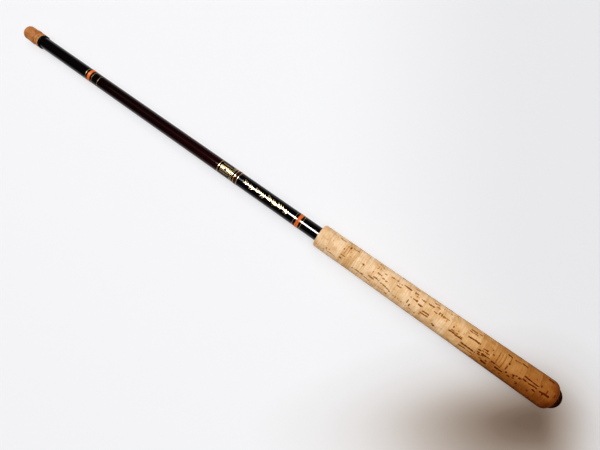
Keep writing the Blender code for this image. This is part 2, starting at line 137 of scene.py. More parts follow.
# The marks on the seen side of each cork ring: start and length along it in mm, angle round it
# in degrees, width across in mm, and darkness
SEEN_MARKS = {
    1: ((11.5, 1.6, 47, 1.2, 0.4), (9, 2.5, -3, 1.4, 0.15)),
    2: ((0, 2.2, -49, 0.9, 0.35), (3.8, 1.3, -49, 0.9, 0.35), (7.2, 1.7, -51, 1.3, 0.95),
        (8.6, 4.2, -50, 1.0, 0.6), (12.2, 1.5, -50, 1.2, 0.8), (2.4, 1.3, -16, 1.5, 0.35),
        (0.8, 1.1, 37, 2.0, 0.5), (3.3, 1.8, 31, 0.9, 0.45), (0, 1.8, 30, 0.8, 0.3),
        (2, 10.5, 45, 0.9, 0.45), (5.6, 1.8, 42, 1.5, 0.6), (7.4, 1.3, 41, 1.0, 0.4),
        (3.3, 1.1, 60, 1.0, 0.45)),
    3: ((0.1, 1.7, -13, 1.5, 0.85), (5.1, 1.7, -36, 2.7, 1.0), (2.6, 1.3, -35, 1.2, 0.55),
        (7.7, 1.5, -43, 1.1, 0.65), (9.2, 3.6, -43, 0.8, 0.5), (12.9, 1.9, -45.5, 1.2, 0.8),
        (2.4, 2.0, -62, 1.2, 0.5), (2.4, 1.0, -14, 7.9, 0.35), (5.3, 0.9, -12, 5.5, 0.35),
        (7.4, 1.2, -17, 1.7, 0.3), (0.4, 5.7, 16, 0.9, 0.65), (0.5, 3.0, 31.5, 1.4, 0.95)),
    4: ((8.3, 2.2, -3, 1.9, 1.0), (7.0, 1.6, -3, 1.0, 0.5), (1.4, 1.4, 40, 1.2, 0.75),
        (0.1, 1.3, 40, 0.9, 0.5), (2.9, 2.6, 39.5, 0.8, 0.3), (5.3, 4.7, 38, 1.1, 0.8),
        (11.4, 2.3, 37.5, 1.5, 1.0), (10.0, 1.5, 38, 0.8, 0.4), (13.6, 1.3, 39, 0.9, 0.6),
        (8.9, 0.8, 12, 4.0, 0.2)),
    5: ((7.1, 1.7, -57, 1.5, 0.75), (8.7, 2.3, -56, 0.8, 0.3), (11.0, 1.7, -50, 1.2, 0.55),
        (12.6, 1.3, -45, 0.9, 0.35), (3.8, 1.2, -45, 1.3, 0.25), (6.8, 1.2, -27, 1.2, 0.6),
        (7.4, 0.8, -36, 3.0, 0.35), (9.8, 1.3, -33, 2.6, 0.25), (9.2, 1.5, -11, 1.7, 0.85),
        (10.6, 4.1, -9.5, 1.1, 0.75), (4.9, 1.3, -3, 2.0, 0.4), (8.0, 4.7, 14.5, 1.2, 0.9),
        (12.6, 2.4, 15.5, 0.9, 0.5), (3.4, 6.3, 23.5, 1.2, 0.85), (9.7, 1.2, 27, 0.9, 0.35),
        (0.3, 4.3, 41, 1.0, 0.75), (4.6, 3.4, 43.5, 0.9, 0.6), (13.2, 1.6, 46, 1.2, 0.5)),
    6: ((0.4, 2.8, -27, 1.1, 0.6), (4.2, 1.0, -38, 1.0, 0.3), (7.0, 3.7, -32.5, 1.3, 0.75),
        (10.7, 2.8, -33, 0.8, 0.3), (13.5, 1.5, -33, 1.7, 0.75), (0.4, 3.2, -4, 1.1, 0.65),
        (4.2, 2.6, -1.5, 1.2, 0.75), (1.5, 1.6, 18.5, 1.3, 0.8), (3.0, 1.4, 19.5, 0.8, 0.4),
        (4.4, 3.8, 20.5, 1.2, 0.75), (8.2, 3.5, 23, 1.1, 0.7), (11.6, 2.2, 29, 1.5, 0.8),
        (0.6, 8.8, 43, 0.9, 0.3), (9.5, 2.9, 50, 1.4, 0.6)),
    7: ((0, 0.7, -33, 1.6, 0.6), (1.3, 1.4, -27, 1.2, 0.5), (3.2, 2.1, -27.5, 1.1, 0.5),
        (0.2, 5.4, -14.5, 1.3, 0.75), (5.5, 1.8, -34, 0.9, 0.35), (7.2, 7.8, -34, 1.5, 0.95),
        (5.0, 1.2, 33, 2.5, 0.35), (7.5, 1.1, 34, 2.2, 0.4), (9.4, 1.1, 37, 2.0, 0.35),
        (11.6, 1.4, 38, 1.6, 0.65), (1.6, 3.0, 34, 1.0, 0.25)),
    8: ((2.3, 4.6, -56, 1.2, 0.6), (3.1, 1.5, -34.5, 2.0, 0.9), (4.5, 3.1, -34, 1.3, 0.85),
        (3.5, 2.2, -28, 0.9, 0.35), (5.8, 2.0, -24, 1.2, 0.7), (1.3, 1.4, -5.5, 1.3, 0.55),
        (4.4, 3.3, -6, 1.2, 0.75), (7.5, 2.0, -7, 2.3, 1.0), (0.9, 1.3, 16.5, 3.6, 1.0),
        (4.0, 1.4, 27, 2.6, 1.0), (1.7, 1.3, 42, 1.2, 0.4), (5.8, 3.0, 40, 0.9, 0.45),
        (11.3, 2.1, -24.5, 1.1, 0.6), (13.3, 1.6, -25, 1.8, 0.9), (10.6, 4.3, 0.5, 1.6, 1.0),
        (11.9, 1.5, 46, 1.5, 0.85), (11.0, 1.6, -68, 1.2, 0.3)),
    9: ((0, 1.0, -25, 1.5, 0.85), (0, 0.6, 0.5, 1.4, 0.95), (3.5, 6.6, -28, 1.4, 0.85),
        (8.3, 2.7, -50, 1.2, 0.75), (11.0, 2.6, -50.5, 1.0, 0.5), (11.4, 3.5, -37, 1.1, 0.7),
        (10.8, 4.1, -12, 1.1, 0.6), (2.3, 7.5, 14, 1.3, 0.9), (0.7, 9.2, 24, 1.3, 0.85),
        (0.1, 2.5, 33.5, 1.1, 0.5)),
    10: ((0, 0.7, -37, 1.1, 0.6), (0.8, 1.3, -18, 2.6, 0.85), (3.3, 1.5, -18, 2.5, 0.85),
         (1.9, 1.5, -21, 1.0, 0.5), (4.8, 3.7, -17, 1.9, 0.6), (9.5, 1.0, -10, 3.0, 0.5),
         (8.4, 4.0, -17.5, 1.1, 0.35), (3.0, 1.1, -50, 1.2, 0.4), (7.1, 1.3, -49.5, 1.2, 0.4),
         (10.1, 2.4, -49, 1.2, 0.5), (3.0, 9.5, -49.5, 0.6, 0.2), (1.7, 2.4, 41, 2.4, 0.95),
         (0.3, 1.8, 38, 1.8, 0.65), (4.1, 2.5, 42, 0.9, 0.3)),
    11: ((1.1, 2.2, -60, 1.3, 0.5), (2.3, 1.6, -6.5, 1.6, 0.9), (8.3, 1.1, -3.5, 1.7, 0.5),
         (2.3, 3.5, 8, 1.0, 0.7), (5.8, 1.9, 9, 0.7, 0.3), (7.7, 2.2, 9.5, 1.2, 0.5),
         (12.0, 2.8, 10, 1.0, 0.5), (0.5, 7.5, 15.5, 1.3, 1.0), (7.5, 7.4, 17.3, 1.3, 1.0),
         (4.8, 3.2, 60, 1.6, 0.4), (13.4, 0.8, -6, 1.8, 0.3)),
    12: ((2.4, 5.4, -43, 1.4, 0.9), (7.8, 1.5, -43.5, 1.7, 1.0), (10.7, 3.6, -46, 1.0, 0.65),
         (1.6, 3.7, -32.5, 1.2, 0.8), (5.3, 1.8, -33, 0.9, 0.5), (7.0, 3.6, -34, 1.1, 0.75),
         (1.0, 2.0, -22, 0.9, 0.25), (2.9, 6.5, -9.3, 1.5, 0.95), (9.0, 5.9, -11, 1.6, 1.0),
         (0.5, 7.2, 29, 1.5, 1.0), (7.4, 7.0, 31, 1.6, 1.0), (0.3, 7.5, 43.5, 1.3, 0.9),
         (7.8, 5.0, 45, 0.9, 0.5), (12.6, 2.0, 43, 1.4, 0.85)),
    13: ((0, 0.8, -10.5, 1.5, 1.0), (1.1, 3.1, 9.5, 1.5, 0.95), (4.4, 2.0, 6.5, 1.0, 0.6),
         (4.4, 2.6, -3, 1.1, 0.6), (7.0, 2.7, -5, 1.6, 0.9), (7.2, 4.7, 4, 1.2, 0.65),
         (1.3, 3.1, 19, 1.4, 0.95), (5.1, 5.4, 16.5, 1.6, 0.95), (10.4, 3.8, 17.5, 1.0, 0.6),
         (2.4, 3.3, 26.5, 1.4, 0.8), (5.7, 3.0, 24.5, 1.1, 0.5), (11.3, 2.2, 33, 1.8, 0.6),
         (8.3, 6.4, 45.5, 2.0, 1.0), (0, 0.8, 30.5, 1.4, 0.7), (5.7, 3.0, 38, 1.2, 0.5),
         (11.5, 1.6, -18.5, 1.2, 0.65), (13.6, 1.3, -6, 1.6, 0.7), (7.0, 6.0, -50, 4.0, 0.12)),
    14: ((0, 0.7, -6, 1.5, 0.65), (3.3, 1.4, -16.5, 1.5, 0.5), (3.6, 0.9, -10, 9.0, 0.35),
         (6.3, 0.8, -10, 8.0, 0.3), (9.2, 1.1, -8, 11.0, 0.35), (0.5, 4.5, 21, 1.4, 0.9),
         (5.0, 5.5, 20.5, 0.9, 0.4), (5.8, 4.0, 31, 1.9, 1.0), (9.7, 4.4, 31, 1.4, 0.95),
         (10.3, 4.6, -42, 1.4, 0.9), (14.2, 0.8, -30, 5.0, 0.45), (14.1, 0.9, -12.5, 1.9, 1.0),
         (13.6, 1.1, 6, 3.8, 0.75), (12.2, 1.7, 45.5, 1.6, 0.75), (2.5, 1.5, 48.5, 1.3, 0.5),
         (6.2, 4.0, 48, 1.0, 0.4), (14.1, 0.8, 53, 1.2, 0.5)),
    15: ((0, 0.7, -12.5, 1.7, 0.95), (2.6, 2.2, -40, 1.3, 0.8), (4.8, 4.7, -42, 0.9, 0.45),
         (9.4, 5.5, -45, 1.4, 0.9), (0.4, 2.1, 23, 1.5, 0.9), (3.2, 3.0, 30.5, 1.6, 0.85),
         (7.0, 1.9, 16, 2.3, 1.0), (5.9, 1.2, 13.5, 1.0, 0.4), (9.0, 2.3, 10.5, 1.5, 0.75),
         (12.0, 2.5, 12.5, 2.1, 1.0), (14.3, 0.7, 9, 1.4, 0.85), (7.7, 2.4, 26, 1.3, 0.6),
         (12.9, 1.7, 36.5, 2.5, 1.0), (11.5, 1.4, 31, 1.0, 0.5)),
    16: ((0.3, 8.0, -6.3, 1.3, 0.95), (8.0, 6.9, -4.5, 1.2, 0.9), (0.2, 4.3, 6, 1.4, 0.95),
         (4.5, 1.6, 5.8, 0.8, 0.5), (6.0, 8.9, 6.8, 1.3, 0.9), (11.1, 3.8, 19, 1.5, 0.95),
         (8.6, 1.7, 34.5, 1.6, 0.75), (4.8, 1.4, 45, 1.3, 0.5), (10.2, 1.5, -22.5, 1.3, 0.35),
         (0, 0.6, -44, 1.2, 0.8)),
    17: ((1.1, 1.5, -11.5, 2.0, 0.9), (5.2, 6.2, -55.5, 1.6, 1.0), (1.9, 5.0, 8.5, 1.5, 0.95),
         (5.5, 6.1, 6, 1.9, 1.0), (4.7, 1.8, 13.5, 1.3, 0.8), (7.0, 1.6, -5, 3.0, 0.55),
         (14.2, 1.3, -8, 2.5, 0.5)),
}

# How dark each cork ring is as a whole, and how strongly its growth lines show
# On the rear rings that darkness is partly painted shade
RING_LOOKS = (
    (0.035, 0.3), (0.03, 0.2), (0.065, 0.5), (0.005, 0.4), (0.035, 0.25), (0.025, 0.25), (0.03, 0.3),
    (0.04, 0.2), (0.08, 0.2), (0.04, 0.35), (0.10, 0.2), (0.11, 0.25), (0.24, 0.25), (0.29, 0.4),
    (0.34, 0.3), (0.42, 0.25), (0.48, 0.4),
)
SEEN_HALF_ANGLE = 74
DARKEST_CORK = 1.6
CORK_TINTS = 10

# The camera of the photograph
CAMERA_AT = (-0.1318, 0.0030, 0.487)
CAMERA_AIM = (-0.0492, 0.0030, 0.014)
CAMERA_UP = (0.5654, -0.8189, 0.0987)

# The lamps: name, power setting, place, aim, size along X and across, and rays that it is hidden from
MIDDLE = (0.0, 0.0, 0.0)
LAMPS = (
    ("gloss_lamp", "line_power", (0.243, -0.09, 1.2), MIDDLE, (0.322, 0.46), "visible_diffuse"),
    ("crest_lamp", "crest_power", (0.472, -0.09, 1.2), MIDDLE, (0.136, 0.34), "visible_diffuse"),
    ("trail_lamp", "trail_power", (0.78, -0.09, 1.2), MIDDLE, (0.48, 0.20), "visible_diffuse"),
    ("side_lamp", "side_power", (0.0, -1.4, 1.9), MIDDLE, (1.6, 0.8), "visible_glossy"),
    ("overhead_lamp", "over_power", (0.1, -0.08, 1.7), (0.1, 0.0, 0.0), (2.4, 2.4), "visible_glossy"),
    ("butt_lamp", "butt_power", (-0.45, -0.14, 1.6), (-0.1, 0.0, 0.0), (0.9, 0.4), None),
    ("mouth_lamp", "mouth_power", (2.3, -0.12, 1.3), (0.2, 0.0, 0.0), (0.9, 0.4), None),
)

# The painted shadow on the floor beside the butt: its middle and turn, its reach behind and ahead and
# to both sides, and its share of the full tint by distance from the middle
PAINTED_SHADOW_AT = (-0.333, 0.026, 0.0)
PAINTED_SHADOW_TURN = math.radians(42)
PAINTED_SHADOW_ALONG = (0.092, 0.28)
PAINTED_SHADOW_ACROSS = (0.092, 0.145)
PAINTED_SHADOW_SHARES = (
    (0.0, 1.0), (0.07, 0.97), (0.146, 0.79), (0.21, 0.60), (0.27, 0.48), (0.35, 0.34), (0.42, 0.24),
    (0.5, 0.15), (0.6, 0.085), (0.75, 0.035), (1.0, 0.0))


def colour_of(name, says, default):
    """A colour setting."""
    return FloatVectorProperty(
        name=name, description=says, subtype="COLOR", size=3, default=default, min=0, max=1)


def length_of(name, says, default, least, most):
    """A length setting, with its value and limits in mm."""
    return FloatProperty(
        name=name, description=says, default=default * MM, min=least * MM, max=most * MM,
        unit="LENGTH", precision=5)


def power_of(name, says, default):
    """The setting of a lamp's power."""
    return FloatProperty(name=name, description=says, default=default, min=0, unit="POWER")


class TubeLooks(PropertyGroup):
    """Sizes and colours of the butt tube and what is laid on it."""
    sides: IntProperty(
        name="Sides", description="Faces round every turned piece", default=96, min=24, max=192)
    black: colour_of("Black", "Black lacquer", (0.0014, 0.0009, 0.0011))
    maroon_front: colour_of(
        "Maroon, mouth end", "Maroon lacquer where it starts by the mouth", (0.0032, 0.0003, 0.0003))
    maroon_rear: colour_of(
        "Maroon, crest end", "Maroon lacquer beside the crest", (0.011, 0.0006, 0.0008))
    orange: colour_of("Orange thread", "Colour of the two orange bands", (0.92, 0.185, 0.022))
    red: colour_of(
        "Red thread", "Colour of the dark red band and the inner whippings", (0.055, 0.003, 0.002))
    gold: colour_of("Gold", "Gold lines, crest and sprigs", (0.66, 0.46, 0.22))
    thin_line: length_of(
        "Thin line width", "Width of the gold lines beside the orange bands", 0.38, 0.1, 2)
    broad_line: length_of("Broad line width", "Width of the other gold lines", 0.72, 0.1, 2)
    thread: length_of("Thread thickness", "Thickness of the binding thread", 0.24, 0.1, 0.5)


class CorkLooks(PropertyGroup):
    """Colours and marks of the cork rings."""
    pale: colour_of("Pale cork", "Lightest cork", (0.97, 0.72, 0.47))
    tint: colour_of(
        "Bark tint", "Tint of the darkest bark, which paler marks share in part", (0.13, 0.030, 0.0022))
    spacing: length_of("Mesh spacing", "Distance between the points of the outer surface", 0.36, 0.2, 2)
    pore_depth: length_of("Pore depth", "How deep the larger marks are sunk", 0.16, 0, 0.5)
    hidden_marks: IntProperty(
        name="Marks elsewhere", description="Marks on the rest of each ring", default=15, min=0, max=60)
    pits: IntProperty(
        name="Pits", description="Small pits on each ring", default=16, min=0, max=80)
    seed: IntProperty(name="Seed", description="Seed of the marks and pits", default=7, min=0)


class EndLooks(PropertyGroup):
    """Colours of the plug, the cap and the small parts inside."""
    wood: colour_of("Plug wood", "Orange-brown wood", (0.50, 0.185, 0.042))
    # The grain colour also paints shade lines in the turned groove
    wood_grain_and_shade: colour_of("Plug grain", "Darker grain of the plug", (0.30, 0.085, 0.016))
    # Painted highlight lines on the turned collar and node
    wood_painted_highlight: colour_of("Plug lines", "Paler turned lines of the plug", (0.82, 0.42, 0.16))
    cap: colour_of("Cap", "Very dark reddish brown lacquer", (0.011, 0.0012, 0.0008))
    brass: colour_of("Brass", "Ferrule and tip socket", (0.78, 0.56, 0.25))
    rubber: colour_of("Rubber", "Seal, pad and plug sleeve", (0.018, 0.018, 0.019))


class StageLooks(PropertyGroup):
    """Floor, lamps and camera."""
    floor: colour_of("Floor", "Pale floor", (0.90, 0.90, 0.918))
    # The tint in the middle of the painted shadow beside the butt
    floor_shade: colour_of(
        "Floor shade", "Tint in the middle of the dark patch beside the butt", (0.199, 0.132, 0.0886))
    line_power: power_of("Gloss lamp power", "Power of the softbox that only gloss shows", 55.0)
    crest_power: power_of("Crest lamp power", "Power of the small softbox that the crest mirrors", 1.7)
    trail_power: power_of("Trail lamp power", "Power of the dim strip beside the crest lamp", 0.25)
    butt_power: power_of("Butt lamp power", "Power of the wide lamp over the butt", 8.0)
    mouth_power: power_of("Mouth lamp power", "Power of the wide lamp ahead of the mouth", 20.0)
    side_power: power_of("Side lamp power", "Power of the lamp whose shadow lies beside the rod", 7.0)
    over_power: power_of("Overhead power", "Power of the large soft lamp overhead", 25.0)
    ceiling: FloatProperty(
        name="Ceiling", description="Brightness of the room overhead", default=0.035, min=0, max=2)
    backdrop: FloatProperty(
        name="Backdrop", description="Brightness of the background past the floor's edge",
        default=0.86, min=0, max=1)
    floor_glow: FloatProperty(
        name="Even floor", description="Share of the seen floor that no lamp has to light",
        default=0.60, min=0, max=1)
    lens: FloatProperty(
        name="Lens", description="Focal length of the camera", default=28.8, min=10, max=200,
        unit="CAMERA")


def radius_of(node):
    """Outer radius of a turned node, which is half the height of its box."""
    low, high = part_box(node)
    return (high.z - low.z) / 2


def tube_radius(x):
    """The butt tube's outside, one straight taper."""
    return MOUTH_RADIUS + TUBE_SLOPE * (MOUTH_X - x)


def tube_bore(x):
    return BORE_AT_MOUTH + BORE_SLOPE * (MOUTH_X - x)


def grip_radius(from_front):
    """The grip swells slowly at first and is full near its rear end."""
    share = min(from_front / GRIP_FULL_AT, 1.0)
    return GRIP_FRONT_RADIUS + (GRIP_REAR_RADIUS - GRIP_FRONT_RADIUS) * share ** GRIP_SWELL


def arc_points(cx, cr, radius, first, last, steps):
    """Points on an arc in the profile plane, by angle from +x towards +radius."""
    turns = [first + (last - first) * i / steps for i in range(steps + 1)]
    return [(cx + radius * math.cos(turn), cr + radius * math.sin(turn)) for turn in turns]


def even_points(start, end, most):
    """Points from start to end on a straight line, no further apart than most."""
    steps = max(1, math.ceil(math.dist(start, end) / most))
    shares = [i / steps for i in range(steps + 1)]
    return [(start[0] + (end[0] - start[0]) * t, start[1] + (end[1] - start[1]) * t) for t in shares]


def blend_points(places, steps):
    """Points on a smooth wave through (x, radius) places, level at each of them."""
    points = [places[0]]
    for (x0, r0), (x1, r1) in zip(places, places[1:]):
        for step in range(1, steps + 1):
            share = step / steps
            ease = (1 - math.cos(math.pi * share)) / 2
            points.append((x0 + (x1 - x0) * share, r0 + (r1 - r0) * ease))
    return points


def new_object(name, data):
    """An object in the scene."""
    made = bpy.data.objects.new(name, data)
    bpy.context.scene.collection.objects.link(made)
    return made


def plain_object(name, mesh, finish):
    """An object at the origin, shaded smooth between its sharp edges."""
    made = new_object(name, mesh)
    made.data.materials.clear()
    made.data.materials.append(finish)
    made.data.shade_smooth()
    made.data.set_sharp_from_angle(angle=SHARP_ANGLE)
    return made


def turned_grid(outline, sides):
    """Positions round the rod's axis for each (x, radius) point, one row for each point."""
    turns = np.arange(sides) * (2 * math.pi / sides)
    xs = np.array([x for x, _ in outline])[:, None]
    rs = np.array([r for _, r in outline])[:, None]
    return np.broadcast_to(xs, (len(outline), sides)).copy(), rs * np.ones((1, sides)), turns


def turned_mesh(name, outline, sides, closed=False, shape=None):
    """A mesh turned from (x, radius) points. An open outline starts and ends on the axis.

    The shape function takes the places, radii and angles of all points and gives new radii.
    """
    xs, rs, turns = turned_grid(outline, sides)
    if shape:
        rs = shape(xs, rs, turns[None, :])
    verts = []
    rows = []
    for row in range(len(outline)):
        on_axis = outline[row][1] == 0
        count = 1 if on_axis else sides
        rows.append(range(len(verts), len(verts) + count))
        for column in range(count):
            r = rs[row, column]
            turn = turns[column]
            verts.append((xs[row, column], r * math.sin(turn), AXIS_Z + r * math.cos(turn)))
    faces = []
    pairs = list(zip(rows, rows[1:]))
    if closed:
        pairs.append((rows[-1], rows[0]))
    for here, ahead in pairs:
        for column in range(sides):
            after = (column + 1) % sides
            if len(here) == 1:
                faces.append((here[0], ahead[after], ahead[column]))
            elif len(ahead) == 1:
                faces.append((here[column], here[after], ahead[0]))
            else:
                faces.append((here[column], here[after], ahead[after], ahead[column]))
    mesh = bpy.data.meshes.new(name)
    mesh.from_pydata(verts, [], faces)
    bm = bmesh.new()
    bm.from_mesh(mesh)
    bmesh.ops.recalc_face_normals(bm, faces=bm.faces)
    bm.to_mesh(mesh)
    bm.free()
    return mesh


def place_piece(made, body, slot, *nodes):
    """Let a piece ride on its body and stand for the nodes it replaces. Its slot is not used."""
    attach(made, body)
    if nodes:
        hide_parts(*nodes)


def turned_piece(name, outline, finish, body, slot, node, closed=True, shape=None, sides=None):
    """A turned mesh as a placed piece that stands for one node."""
    sides = sides or bpy.context.scene.keiryu_tube.sides
    made = plain_object(name, turned_mesh(name, outline, sides, closed, shape), FINISHES[finish])
    place_piece(made, body, slot, node)
    return made


class NodeBook:
    """Short ways to add nodes, for materials, the room and growth trees alike."""

    def __init__(self, tree):
        self.nodes = tree.nodes
        self.links = tree.links

    def put(self, node, key, value):
        """Link a socket, or set a plain value."""
        if isinstance(value, bpy.types.NodeSocket):
            self.links.new(value, node.inputs[key])
        else:
            node.inputs[key].default_value = value

    def node(self, kind, inputs=None, **settings):
        made = self.nodes.new(kind)
        for key, value in settings.items():
            setattr(made, key, value)
        for key, value in (inputs or {}).items():
            self.put(made, key, value)
        return made

    def maths(self, operation, *values):
        return self.node("ShaderNodeMath", dict(enumerate(values)), operation=operation).outputs[0]

    def plus(self, one, other):
        return self.maths("ADD", one, other)

    def minus(self, one, other):
        return self.maths("SUBTRACT", one, other)

    def times(self, one, other):
        return self.maths("MULTIPLY", one, other)

    def over(self, one, other):
        return self.maths("DIVIDE", one, other)

    def vector(self, x=0.0, y=0.0, z=0.0):
        return self.node("ShaderNodeCombineXYZ", {"X": x, "Y": y, "Z": z}).outputs["Vector"]

    def split(self, vector):
        """The X, Y and Z of a vector."""
        return self.node("ShaderNodeSeparateXYZ", {"Vector": vector}).outputs

    def mix(self, share, first, second, blend="MIX"):
        """A colour mix."""
        made = self.node("ShaderNodeMix", data_type="RGBA", blend_type=blend)
        for key, value in ((0, share), (6, first), (7, second)):
            if isinstance(value, (tuple, list)) or hasattr(value, "r"):
                value = (*value, 1.0)
            self.put(made, key, value)
        return made.outputs[2]

    def ramp(self, value, stops):
        """A colour ramp from (place, colour) stops."""
        made = self.node("ShaderNodeValToRGB", {"Fac": value})
        band = made.color_ramp
        while len(band.elements) < len(stops):
            band.elements.new(0.5)
        for element, (at, colour) in zip(band.elements, stops):
            element.position = at
            element.color = (*colour, 1.0)
        return made.outputs["Color"]


class Finish(NodeBook):
    """A node-built material."""

    def __init__(self, name, colour, roughness, metallic=0.0, ior=1.5, coat=0.0):
        self.material = bpy.data.materials.new(name)
        self.material.use_nodes = True
        super().__init__(self.material.node_tree)
        self.shader = self.nodes["Principled BSDF"]
        self.give("Base Color", (*colour, 1.0))
        self.give("Roughness", roughness)
        self.give("Metallic", metallic)
        self.give("IOR", ior)
        self.give("Coat Weight", coat)
        self.give("Coat Roughness", 0.05)
        self.place = self.node("ShaderNodeTexCoord").outputs["Object"]

    def give(self, key, value):
        """Set or link one of the shader's own inputs."""
        self.put(self.shader, key, value)

    def stretch(self, *scale):
        """Coordinates scaled along the three axes."""
        return self.node("ShaderNodeMapping", {"Vector": self.place, "Scale": scale}).outputs["Vector"]

    def noise(self, scale, detail=2.0, rough=0.5, place=None, own=None):
        """Noise from 0 to 1. Its own value shifts the pattern, so that pieces differ."""
        inputs = {"Vector": place or self.place, "Scale": scale, "Detail": detail, "Roughness": rough}
        if own is not None:
            inputs["W"] = own
        made = self.node(
            "ShaderNodeTexNoise", inputs, noise_dimensions="3D" if own is None else "4D")
        return made.outputs["Fac"]

    def rough(self, value, low, high, to_low, to_high):
        """A roughness that follows a value."""
        self.give("Roughness", self.share(value, low, high, to_low, to_high))

    def attribute(self, name):
        return self.node("ShaderNodeAttribute", attribute_name=name).outputs["Fac"]

    def share(self, value, low, high, to_low=0.0, to_high=1.0):
        """A value's place between low and high, clamped and eased."""
        inputs = {"Value": value, "From Min": low, "From Max": high, "To Min": to_low, "To Max": to_high}
        made = self.node("ShaderNodeMapRange", inputs, interpolation_type="SMOOTHSTEP")
        return made.outputs["Result"]

    def bump(self, height, distance, strength=1.0):
        """Raise the surface by a height from 0 to 1 times the distance."""
        inputs = {"Height": height, "Distance": distance, "Strength": strength}
        self.give("Normal", self.node("ShaderNodeBump", inputs).outputs["Normal"])


def shade(colour, factor):
    """A colour made darker or lighter."""
    return tuple(min(1.0, part * factor) for part in colour)


def butt_lacquer(looks):
    """Black and maroon lacquer in stretches along the tube, under a slightly wavy gloss."""
    made = Finish("butt_lacquer", looks.black, 0.07, ior=1.27)
    x = made.split(made.place)["X"]
    along = made.node(
        "ShaderNodeMapRange",
        {"Value": x, "From Min": MOUTH_X, "From Max": GRIP_FRONT_X, "To Min": 0.0, "To Max": 1.0},
    ).outputs["Result"]
    edge = 0.0003
    front = MAROON_FROM / SHOWN_LENGTH
    rear = MAROON_TO / SHOWN_LENGTH
    colour = made.ramp(along, (
        (0.0, looks.black), (front - edge, looks.black), (front + edge, looks.maroon_front),
        (0.5, [(a + b) / 2 for a, b in zip(looks.maroon_front, looks.maroon_rear)]),
        (rear - edge, looks.maroon_rear), (rear + edge, looks.black), (1.0, looks.black),
    ))
    cloud = made.noise(220.0, 4.0, 0.6, made.stretch(0.25, 1.0, 1.0))
    colour = made.mix(made.share(cloud, 0.35, 0.75, 0.0, 0.35), colour, (0.004, 0.001, 0.001), "ADD")
    made.give("Base Color", colour)
    dust = made.noise(2400.0, 3.0, 0.7)
    made.rough(dust, 0.4, 0.8, 0.045, 0.09)
    made.bump(made.noise(170.0, 2.0, 0.5, made.stretch(0.5, 1.0, 1.0)), 0.02 * MM, 0.6)
    return made.material


def ring_lacquer():
    made = Finish("mouth_ring_lacquer", (0.0035, 0.0030, 0.0030), 0.22)
    made.give("Specular IOR Level", 0.02)
    speck = made.noise(1800.0, 3.0, 0.6)
    made.give("Base Color", made.ramp(speck, (
        (0.35, (0.0030, 0.0028, 0.0030)), (0.75, (0.010, 0.009, 0.009)))))
    made.rough(speck, 0.3, 0.8, 0.16, 0.34)
    made.bump(speck, 0.02 * MM, 0.4)
    return made.material


def sanded_cork(looks):
    """Cork whose patches, growth lines, marks, handling dirt and painted shade all deepen one tint."""
    made = Finish("sanded_cork", looks.pale, 0.8)
    made.give("Specular IOR Level", 0.02)
    tone = made.attribute("tone")
    own = made.times(made.attribute("own"), 1.7)
    patches = made.noise(120.0, 3.0, 0.55, own=own)
    lines = made.noise(620.0, 2.0, 0.5, made.stretch(1.0, 0.06, 0.06), own)
    cells = made.noise(2300.0, 3.0, 0.65)
    streaks = made.noise(1500.0, 3.0, 0.6, made.stretch(0.16, 1.0, 1.0), own)
    streak = made.share(streaks, 0.62, 0.70, 0.0, 0.22)
    even = made.node("ShaderNodeTexWave", {
        "Vector": made.place, "Scale": 135.0, "Distortion": 4.0, "Detail": 2.0, "Detail Scale": 0.5,
        "Phase Offset": own}).outputs["Fac"]
    lines = made.plus(lines, made.times(even, 0.22))
    growth = made.times(made.share(lines, 0.48, 0.85, 0.0, 0.18), made.attribute("growth"))
    ragged = made.noise(1300.0, 4.0, 0.7)
    edge = made.plus(made.attribute("pore"), made.times(ragged, 1.3))
    bark = made.times(made.share(edge, 0.40, 0.95), made.attribute("bark"))
    # Marks are deeper in colour on the darker rings
    bark = made.times(bark, made.share(tone, 0.0, 0.2, 0.58, 0.72))

    # Painted shade with some handling dirt: the rear is darker low on one side, and the very end most
    parts = made.split(made.place)
    side = made.share(parts["Y"], 0.0, 9 * MM, 0.0, 0.22)
    side = made.times(side, made.share(parts["X"], GRIP_REAR_X + 100 * MM, GRIP_REAR_X + 55 * MM))
    # Painted shade with some handling dirt: the low flank darkens from none at the front to most at the
    # rear
    low = made.times(made.minus(AXIS_Z, parts["Z"]), 0.34)
    low = made.plus(low, made.times(parts["Y"], 0.94))
    low = made.share(low, 6.5 * MM, 14 * MM, 0.0, 0.27)
    rearward = made.share(parts["X"], GRIP_REAR_X + 190 * MM, GRIP_REAR_X + 40 * MM)
    side = made.plus(side, made.times(low, rearward))
    uneven = made.plus(parts["X"], made.times(patches, 8 * MM))
    end = made.share(uneven, GRIP_REAR_X + 17 * MM, GRIP_REAR_X + 5 * MM, 0.0, 0.30)

    dark = made.share(patches, 0.38, 0.62, 0.09, 0.015)
    for more in (growth, made.share(cells, 0.50, 0.78, 0.0, 0.07), streak, tone, side, end, bark):
        dark = made.plus(dark, more)
    tints = []
    for step in range(CORK_TINTS):
        share = step / (CORK_TINTS - 1)
        tints.append((share, [part ** (DARKEST_CORK * share) for part in looks.tint]))
    tint = made.ramp(made.over(dark, DARKEST_CORK), tints)
    made.give("Base Color", made.mix(1.0, looks.pale, tint, "MULTIPLY"))
    made.rough(bark, 0.0, 1.0, 0.72, 0.92)

    height = made.minus(made.times(cells, 0.35), made.times(bark, 0.6))
    height = made.minus(height, streak)
    made.bump(height, 0.12 * MM, 0.5)
    return made.material


